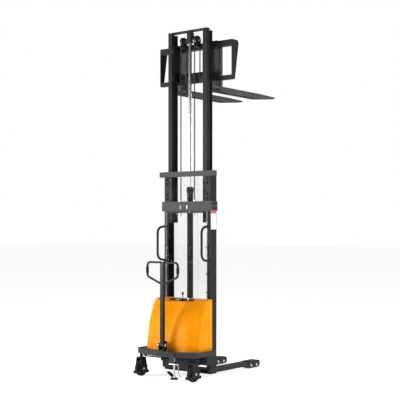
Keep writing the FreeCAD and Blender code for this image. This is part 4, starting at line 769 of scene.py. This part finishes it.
def makeChains():
    frontLow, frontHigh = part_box("chain_front_falls")
    rearLow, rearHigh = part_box("chain_rear_falls")
    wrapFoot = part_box("chain_wraps")[0].z
    x = frontHigh.x - chainLook["pinHalf"]
    frontY = (frontLow.y + frontHigh.y) / 2
    rearY = (rearLow.y + rearHigh.y) / 2
    edge = chainLook["height"]
    front = chainLinks(straightRun(frontY, frontLow.z + edge, frontHigh.z), x)
    piece = addPiece("chain_front_links", bothSides(joined(front)), None, "chain_steel",
                     stands=["chain_front_falls"])
    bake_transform(piece)
    rear = chainLinks(straightRun(rearY, rearLow.z + edge, rearHigh.z), x)
    piece = addPiece("chain_rear_links", bothSides(joined(rear)), None, "chain_steel",
                     stands=["chain_rear_falls"])
    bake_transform(piece)
    radius = (rearY - frontY) / 2
    steps = round(math.pi * radius / chainLook["pitch"])
    arc = [((frontY + rearY) / 2 - radius * math.cos(math.pi * k / steps),
            wrapFoot + radius * math.sin(math.pi * k / steps)) for k in range(steps + 1)]
    addPiece("chain_wrap_links", bothSides(joined(chainLinks(arc, x))), "inner_mast", "chain_steel",
             stands=["chain_wraps"])


makeChains()
print("chains made")


# clear guard sheets with two upright folds that stiffen them
guardLook = {"foldX": 0.140, "foldHalf": 0.007, "foldDepth": 0.0035, "sheet": 0.003, "upperInset": 0.048}


def foldedSheet(half, low, high, face):
    fold, wide, deep = guardLook["foldX"], guardLook["foldHalf"], guardLook["foldDepth"]
    line = [(-half, 0.0)]
    for middle in (-fold, fold):
        line += [(middle - wide, 0.0), (middle - wide * 0.4, deep), (middle + wide * 0.4, deep),
                 (middle + wide, 0.0)]
    line += [(half, 0.0)]
    outline = [(x, face + y) for x, y in line]
    outline += [(x, face + y + guardLook["sheet"]) for x, y in reversed(line)]
    return prism(outline, "z", low, high)


def makeGuards():
    low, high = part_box("mast_guard")
    midLow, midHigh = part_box("mast_mid_beam")
    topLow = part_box("mast_top_beam")[0]
    lower = foldedSheet(high.x, low.z, midLow.z, low.y)
    upper = foldedSheet(high.x - guardLook["upperInset"], midHigh.z, topLow.z, low.y)
    addPiece("guard_sheets", joined([lower, upper]), "root", "clear_guard", stands=["mast_guard"])
    trims = []
    for x in (-high.x, high.x):
        trims.append(slab((x - 0.001, low.y - 0.0005, low.z), (x + 0.001, low.y + 0.0035, midLow.z)))
    addPiece("guard_edges", joined(trims), "root", "clear_guard", finish="pale_nylon")


makeGuards()
print("guard sheets made")


# return spring of the floor brake
springLook = {"turns": 7, "wire": 0.0014, "steps": 14}


def makeBrakeSpring():
    low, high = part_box("brake_spring")
    middle = (low + high) / 2
    radius = (high.x - low.x) / 2 - springLook["wire"]
    turns, wire, steps = springLook["turns"], springLook["wire"], springLook["steps"]
    path = []
    for k in range(turns * steps + 1):
        angle = 2 * math.pi * k / steps
        path.append((middle.x + radius * math.cos(angle), middle.y + radius * math.sin(angle),
                     low.z + wire + (high.z - low.z - 2 * wire) * k / (turns * steps)))
    coil = addPiece("brake_coil", tube(path, wire, 7), None, "bright_steel", stands=["brake_spring"])
    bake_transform(coil)


makeBrakeSpring()
print("brake spring made")


# caster wheels: moulded tyre with a tread band, spoked hub, and the bolts that hold them
casterLook = {"grooves": (-0.011, 0.011), "grooveDepth": 0.0016, "spokes": 5, "spokeHalf": 0.005,
              "boss": 0.020, "nut": 0.019, "nutFace": 0.034}


def makeCaster(side):
    low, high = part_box("caster_tyre_" + side)
    hubLow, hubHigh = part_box("caster_hub_" + side)
    wheel = "caster_wheel_" + side
    centre = tuple((low + high) / 2)
    radius = (high.z - low.z) / 2
    rim = (hubHigh.z - hubLow.z) / 2
    half = (high.x - low.x) / 2
    profile = [(rim, -half + 0.001), (radius - 0.012, -half), (radius - 0.005, -half + 0.003),
               (radius - 0.0015, -half + 0.008), (radius, -half + 0.013)]
    depth = casterLook["grooveDepth"]
    for groove in casterLook["grooves"]:
        profile += [(radius, groove - 0.0012), (radius - depth, groove - 0.0007),
                    (radius - depth, groove + 0.0007), (radius, groove + 0.0012)]
    profile += [(radius, half - 0.013), (radius - 0.0015, half - 0.008), (radius - 0.005, half - 0.003),
                (radius - 0.012, half), (rim, half - 0.001), (rim, -half + 0.001)]
    addPiece("caster_tread_" + side, lathe(profile, centre, "x", 72), wheel, "tyre_black",
             stands=["caster_tyre_" + side])
    spokes = []
    for k in range(casterLook["spokes"]):
        angle = 2 * math.pi * k / casterLook["spokes"]
        away = Vector((math.cos(angle), math.sin(angle)))
        across = Vector((-away.y, away.x)) * casterLook["spokeHalf"]
        near, far = away * casterLook["boss"], away * (rim - 0.006)
        corners = [near - across * 1.4, far - across, far + across, near + across * 1.4]
        outline = [(centre[1] + c.x, centre[2] + c.y) for c in corners]
        for edge in (-1, 1):
            spokes.append(prism(outline, "x", centre[0] + edge * (half - 0.014),
                                centre[0] + edge * (half - 0.004)))
    addPiece("caster_spokes_" + side, joined(spokes), wheel, "hub_black", bevel=0.0012)
    nuts = []
    for edge in (-1, 1):
        face = centre[0] + edge * casterLook["nutFace"]
        nuts.append(hexBolt((face, centre[1], centre[2]), "x", casterLook["nut"], boltHead, edge))
    addPiece("caster_nuts_" + side, joined(nuts), "caster_" + side, "bright_steel", bevel=0.0005)


for side in ("left", "right"):
    makeCaster(side)
print("casters made")


# where the tiller's tilt pin lies, from the pole it carries
def tiltAxis():
    low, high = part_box("tiller_pole")
    return (low.y + high.y) / 2, low.z + 0.020


# steel bolts, nuts and washers that hold the parts together
# heights of beam and side bolts are above the middle beam's foot, depths behind the mast's face
boltLook = {"beamSpots": [(-0.068, 0.052), (-0.068, 0.032), (0.020, 0.052), (0.020, 0.032)],
            "sideHeights": (0.025, 0.075), "sideDepths": (0.03, 0.07), "across": 0.014, "sideAcross": 0.019,
            "anchorInset": 0.012, "anchorNut": 0.0135, "anchorSpacing": 0.011, "legWidth": 0.100,
            "axleCap": 0.015, "tillerPinFace": 0.036, "tillerPinHead": 0.020}


def makeBolts():
    look = boltLook
    beamLow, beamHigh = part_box("mast_mid_beam")
    beam = [hexBolt((x, beamLow.y, beamLow.z + z), "y", look["across"], boltHead, -1)
            for x, z in look["beamSpots"]]
    addPiece("beam_bolts", joined(beam), "root", "roller_steel", bevel=0.0005)
    flank = [hexBolt((beamHigh.x, mastFace + y, beamLow.z + z), "x", look["sideAcross"], boltHead, 1)
             for z in look["sideHeights"] for y in look["sideDepths"]]
    addPiece("beam_side_bolts", bothSides(joined(flank)), "root", "black_fastener", bevel=0.0005)
    anchorLow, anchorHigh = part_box("chain_anchor_bolts")
    x = anchorHigh.x - look["anchorInset"]
    y = (anchorLow.y + anchorHigh.y) / 2
    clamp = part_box("cylinder_clamp")
    gap, wide = look["anchorSpacing"], look["anchorNut"]
    nuts = []
    for z in (clamp[0].z - gap, clamp[0].z - 2 * gap, clamp[1].z + gap):
        nuts.append(lathe([(wide, z - 0.0045), (wide, z + 0.0045)], (x, y, 0.0), "z", 6))
    pin = lathe([(0.0015, -0.02), (0.0015, 0.02)], (x, y, anchorLow.z + 0.008), "x", 8)
    addPiece("chain_anchor_nuts", bothSides(joined(nuts + [pin])), "root", "bright_steel", bevel=0.0006)
    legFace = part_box("straddle_legs")[1].x
    cap = look["axleCap"]
    plates = []
    for name in ("load_rollers_front", "load_rollers_rear"):
        low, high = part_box(name)
        middle = (low + high) / 2
        for face, way in ((legFace, 1), (legFace - look["legWidth"], -1)):
            plates.append(lathe([(cap, 0.0), (cap, way * 0.002), (cap * 0.8, way * 0.0035)],
                                (face, middle.y, middle.z), "x", 24))
    addPiece("roller_axle_caps", bothSides(joined(plates)), "root", "bright_steel", bevel=0.0004)
    tiltY, tiltZ = tiltAxis()
    heads = [hexBolt((edge * look["tillerPinFace"], tiltY, tiltZ), "x", look["tillerPinHead"], 0.008, edge)
             for edge in (-1, 1)]
    addPiece("tiller_pin_heads", joined(heads), "tiller_swivel_base", "black_fastener", bevel=0.0006)


makeBolts()
print("bolts made")


# weld beads: a ripple along each joint, and thin rings where round bars meet
weldLook = {"radius": 0.0032, "ripple": 0.0007, "step": 0.0035, "sides": 7, "handleRing": 0.0125,
            "poleSide": 0.0205, "thin": 0.0024}


def bead(start, end):
    a, b = Vector(start), Vector(end)
    count = max(4, int((b - a).length / weldLook["step"]))
    path = [a.lerp(b, k / count) for k in range(count + 1)]
    radii = [weldLook["radius"] + weldLook["ripple"] * (1 if k % 2 else -1) * random.uniform(0.5, 1.0)
             for k in range(count + 1)]
    return tube(path, radii, weldLook["sides"])


def makeWelds():
    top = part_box("mast_top_beam")
    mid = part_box("mast_mid_beam")
    onMast = []
    front, corner = mastFace - 0.001, mastFace - 0.006
    for low, high in (top, mid):
        for z in (low.z, high.z):
            onMast.append(bead((mastHalf - 0.044, front, z), (mastHalf - 0.004, front, z)))
        onMast.append(bead((mastHalf, corner, low.z + 0.004), (mastHalf, corner, high.z - 0.004)))
    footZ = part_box("mast_foot_members")[0].z + 0.049
    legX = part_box("straddle_legs")[1].x
    back = mastFace + 0.100
    onMast.append(bead((mastHalf, mastFace + 0.004, footZ), (mastHalf, back - 0.004, footZ)))
    onMast.append(bead((legX, back, 0.040), (legX, back, 0.082)))
    onMast.append(bead((legX - 0.1, back + 0.002, 0.078), (legX, back + 0.002, 0.078)))
    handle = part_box("grab_handles")
    for z in (handle[0].z + 0.012, handle[1].z - 0.012):
        ring = circleSpots((mastHalf - 0.015, mastFace - 0.0005, z), "y", weldLook["handleRing"], 20)
        onMast.append(tube(ring, weldLook["radius"] * 0.8, weldLook["sides"], closed=True))
    addPiece("mast_welds", bothSides(joined(onMast)), "root", "mast_paint", finish="frame_paint")
    tieLow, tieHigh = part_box("inner_mast_ties")
    tieZ = tieHigh.z - 0.015
    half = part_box("inner_upright_right")[1].x
    onInner = [bead((half - 0.046, mastFace, tieZ), (half - 0.002, mastFace, tieZ)),
               bead((half, mastFace + 0.002, tieZ), (half, mastFace + 0.058, tieZ)),
               bead((half - 0.047, front, tieLow.z), (half - 0.006, front, tieLow.z))]
    addPiece("inner_mast_welds", bothSides(joined(onInner)), "inner_mast", "mast_paint")
    carriageLow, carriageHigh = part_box("carriage_frame")
    endX, endZ = carriageHigh.x - 0.010, carriageHigh.z - 0.058
    barY = mastFace + 0.134
    onCarriage = [bead((x, barY, carriageLow.z + 0.048), (x, barY, carriageLow.z + 0.100))
                  for x in (0.190, 0.202)]
    onCarriage.append(bead((endX, barY + 0.002, endZ), (endX, barY + 0.058, endZ)))
    addPiece("carriage_welds", bothSides(joined(onCarriage)), "carriage", "mast_paint")
    loopLow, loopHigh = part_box("tiller_loop")
    poleY = tiltAxis()[0]
    rings = []
    for z, radius in ((loopHigh.z - 0.011, 0.0115), (loopLow.z + 0.019, 0.0125)):
        ring = circleSpots((weldLook["poleSide"], poleY, z), "x", radius, 18)
        rings.append(tube(ring, weldLook["thin"], weldLook["sides"], closed=True))
    addPiece("tiller_welds", bothSides(joined(rings)), "tiller", "handle_paint")


makeWelds()
print("welds made")


# blank two-colour rating plate on the right upright, just under the middle beam, with no words on it
labelLook = {"tall": 0.188, "bandHeight": 0.026, "edge": 0.006, "deep": 0.088, "corner": 0.004,
             "thick": 0.0007, "margin": 0.003}


def makeLabel():
    look = labelLook
    x, margin = mastHalf, look["margin"]
    yLow, yHigh = mastFace + look["edge"], mastFace + look["edge"] + look["deep"]
    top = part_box("mast_mid_beam")[0].z
    foot = top - look["tall"]
    body = roundedOutline([(yLow, foot), (yHigh, foot), (yHigh, top), (yLow, top)], look["corner"])
    addPiece("side_label", prism(body, "x", x, x + look["thick"]), "root", "mast_paint",
             finish="label_white")
    band = slab((x, yLow + margin, top - look["bandHeight"]),
                (x + look["thick"] * 1.5, yHigh - margin, top - margin))
    addPiece("side_label_band", band, "root", "mast_paint", finish="label_red")


makeLabel()
print("label made")


# coil springs beside the tiller's foot, and the rubber cap on its head
tillerLook = {"springRadius": 0.0165, "wire": 0.0016, "turns": 5, "steps": 16, "springFrom": 0.0415,
              "springLength": 0.010, "capX": 0.021, "capY": 0.016}


def makeTillerDetails():
    look = tillerLook
    tiltY, tiltZ = tiltAxis()
    count = look["turns"] * look["steps"]
    coils = []
    for edge in (-1, 1):
        path = []
        for k in range(count + 1):
            angle = 2 * math.pi * k / look["steps"]
            path.append((edge * (look["springFrom"] + look["springLength"] * k / count),
                         tiltY + look["springRadius"] * math.cos(angle),
                         tiltZ + look["springRadius"] * math.sin(angle)))
        coils.append(tube(path, look["wire"], 7))
    addPiece("tiller_springs", joined(coils), "tiller_swivel_base", "bright_steel")
    x, yLow, yHigh = look["capX"], tiltY - look["capY"], tiltY + look["capY"]
    cap = roundedOutline([(-x, yLow), (x, yLow), (x, yHigh), (-x, yHigh)], 0.005)
    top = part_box("tiller_pole")[1].z
    addPiece("tiller_cap", prism(cap, "z", top - 0.004, top + 0.003), "tiller", "rubber_grip", bevel=0.001)


makeTillerDetails()
print("tiller details made")


# hydraulic parts that show: the gland's rings and the wiper on the rod
wiperLook = {"bore": 0.0186, "foot": 0.026, "top": 0.024, "height": 0.006}


def makeHydraulics():
    low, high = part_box("cylinder_gland")
    centre = (0.0, (low.y + high.y) / 2, 0.0)
    radius = (high.x - low.x) / 2
    proud = radius + 0.0015
    rings = [lathe([(radius, z), (proud, z + 0.001), (proud, z + 0.005), (radius, z + 0.006), (radius, z)],
                   centre, "z", 40) for z in (low.z + 0.008, high.z - 0.022)]
    bore = wiperLook["bore"]
    wiper = lathe([(bore, high.z), (wiperLook["foot"], high.z), (wiperLook["top"], high.z + 0.005),
                   (bore, high.z + wiperLook["height"]), (bore, high.z)], centre, "z", 40)
    addPiece("gland_rings", joined(rings), "root", "cylinder_paint")
    addPiece("rod_wiper", wiper, "root", "cylinder_paint", finish="rubber_grip")


makeHydraulics()
print("hydraulic details made")


# pale floor, soft studio light and the camera
studio = {"cameraAt": (6.160, mastFace - 7.632, 1.516), "turn": 38.13, "lens": 85.54, "shiftUp": 0.070,
          "worldGlow": 0.26, "floorTone": (0.9, 0.9, 0.9), "floorGlow": 0.72, "floorReach": 60.0,
          # name, place, target, width and power
          "lamps": [("frontLeft", (-4.4, -6.0, 2.2), (0, -0.5, 1.0), 2.8, 390),
                    ("sideRight", (6.0, 1.6, 2.4), (0, -0.4, 1.0), 2.6, 230),
                    ("topSoft", (0.5, -2.5, 8.0), (0, -0.5, 0.5), 3.0, 110)]}


def makeStudio():
    world = bpy.data.worlds.new("studioWorld")
    scene.world = world
    world.use_nodes = True
    tree = world.node_tree
    sky = tree.nodes["Background"]
    sky.inputs["Color"].default_value = (1.0, 1.0, 1.0, 1.0)
    # white where it is seen directly or through the clear sheets, dimmer as a light
    ray = tree.nodes.new("ShaderNodeLightPath")
    seen = sums(tree, "MAXIMUM", ray.outputs["Is Camera Ray"], ray.outputs["Is Transmission Ray"])
    tree.links.new(ramp(tree, seen, 0.0, 1.0, studio["worldGlow"], 1.0), sky.inputs["Strength"])
    floorMesh = bpy.data.meshes.new("studioFloor")
    reach = studio["floorReach"]
    floorMesh.from_pydata([(-reach, -reach, 0), (reach, -reach, 0), (reach, reach, 0), (-reach, reach, 0)],
                          [], [(0, 1, 2, 3)])
    floor = bpy.data.objects.new("studioFloor", floorMesh)
    scene.collection.objects.link(floor)
    material, _, shader = freshMaterial("studio_floor")
    shader.inputs["Base Color"].default_value = (*studio["floorTone"], 1.0)
    shader.inputs["Roughness"].default_value = 0.6
    shader.inputs["Specular IOR Level"].default_value = 0.0
    shader.inputs["Emission Color"].default_value = (1.0, 1.0, 1.0, 1.0)
    shader.inputs["Emission Strength"].default_value = studio["floorGlow"]
    floorMesh.materials.append(material)
    for name, spot, target, width, power in studio["lamps"]:
        light = bpy.data.lights.new(name, "AREA")
        light.size = width
        light.energy = power
        lamp = bpy.data.objects.new(name, light)
        lamp.location = spot
        aim = Vector(target) - Vector(spot)
        lamp.rotation_euler = aim.to_track_quat("-Z", "Y").to_euler()
        scene.collection.objects.link(lamp)
    view = bpy.data.cameras.new("viewCamera")
    view.lens = studio["lens"]
    view.sensor_width = 36.0
    view.shift_y = studio["shiftUp"]
    view.clip_end = 200.0
    camera = bpy.data.objects.new("viewCamera", view)
    camera.location = studio["cameraAt"]
    camera.rotation_euler = (math.radians(90), 0.0, math.radians(studio["turn"]))
    scene.collection.objects.link(camera)
    scene.camera = camera
    scene.view_settings.view_transform = "Standard"


makeStudio()
print("studio ready")
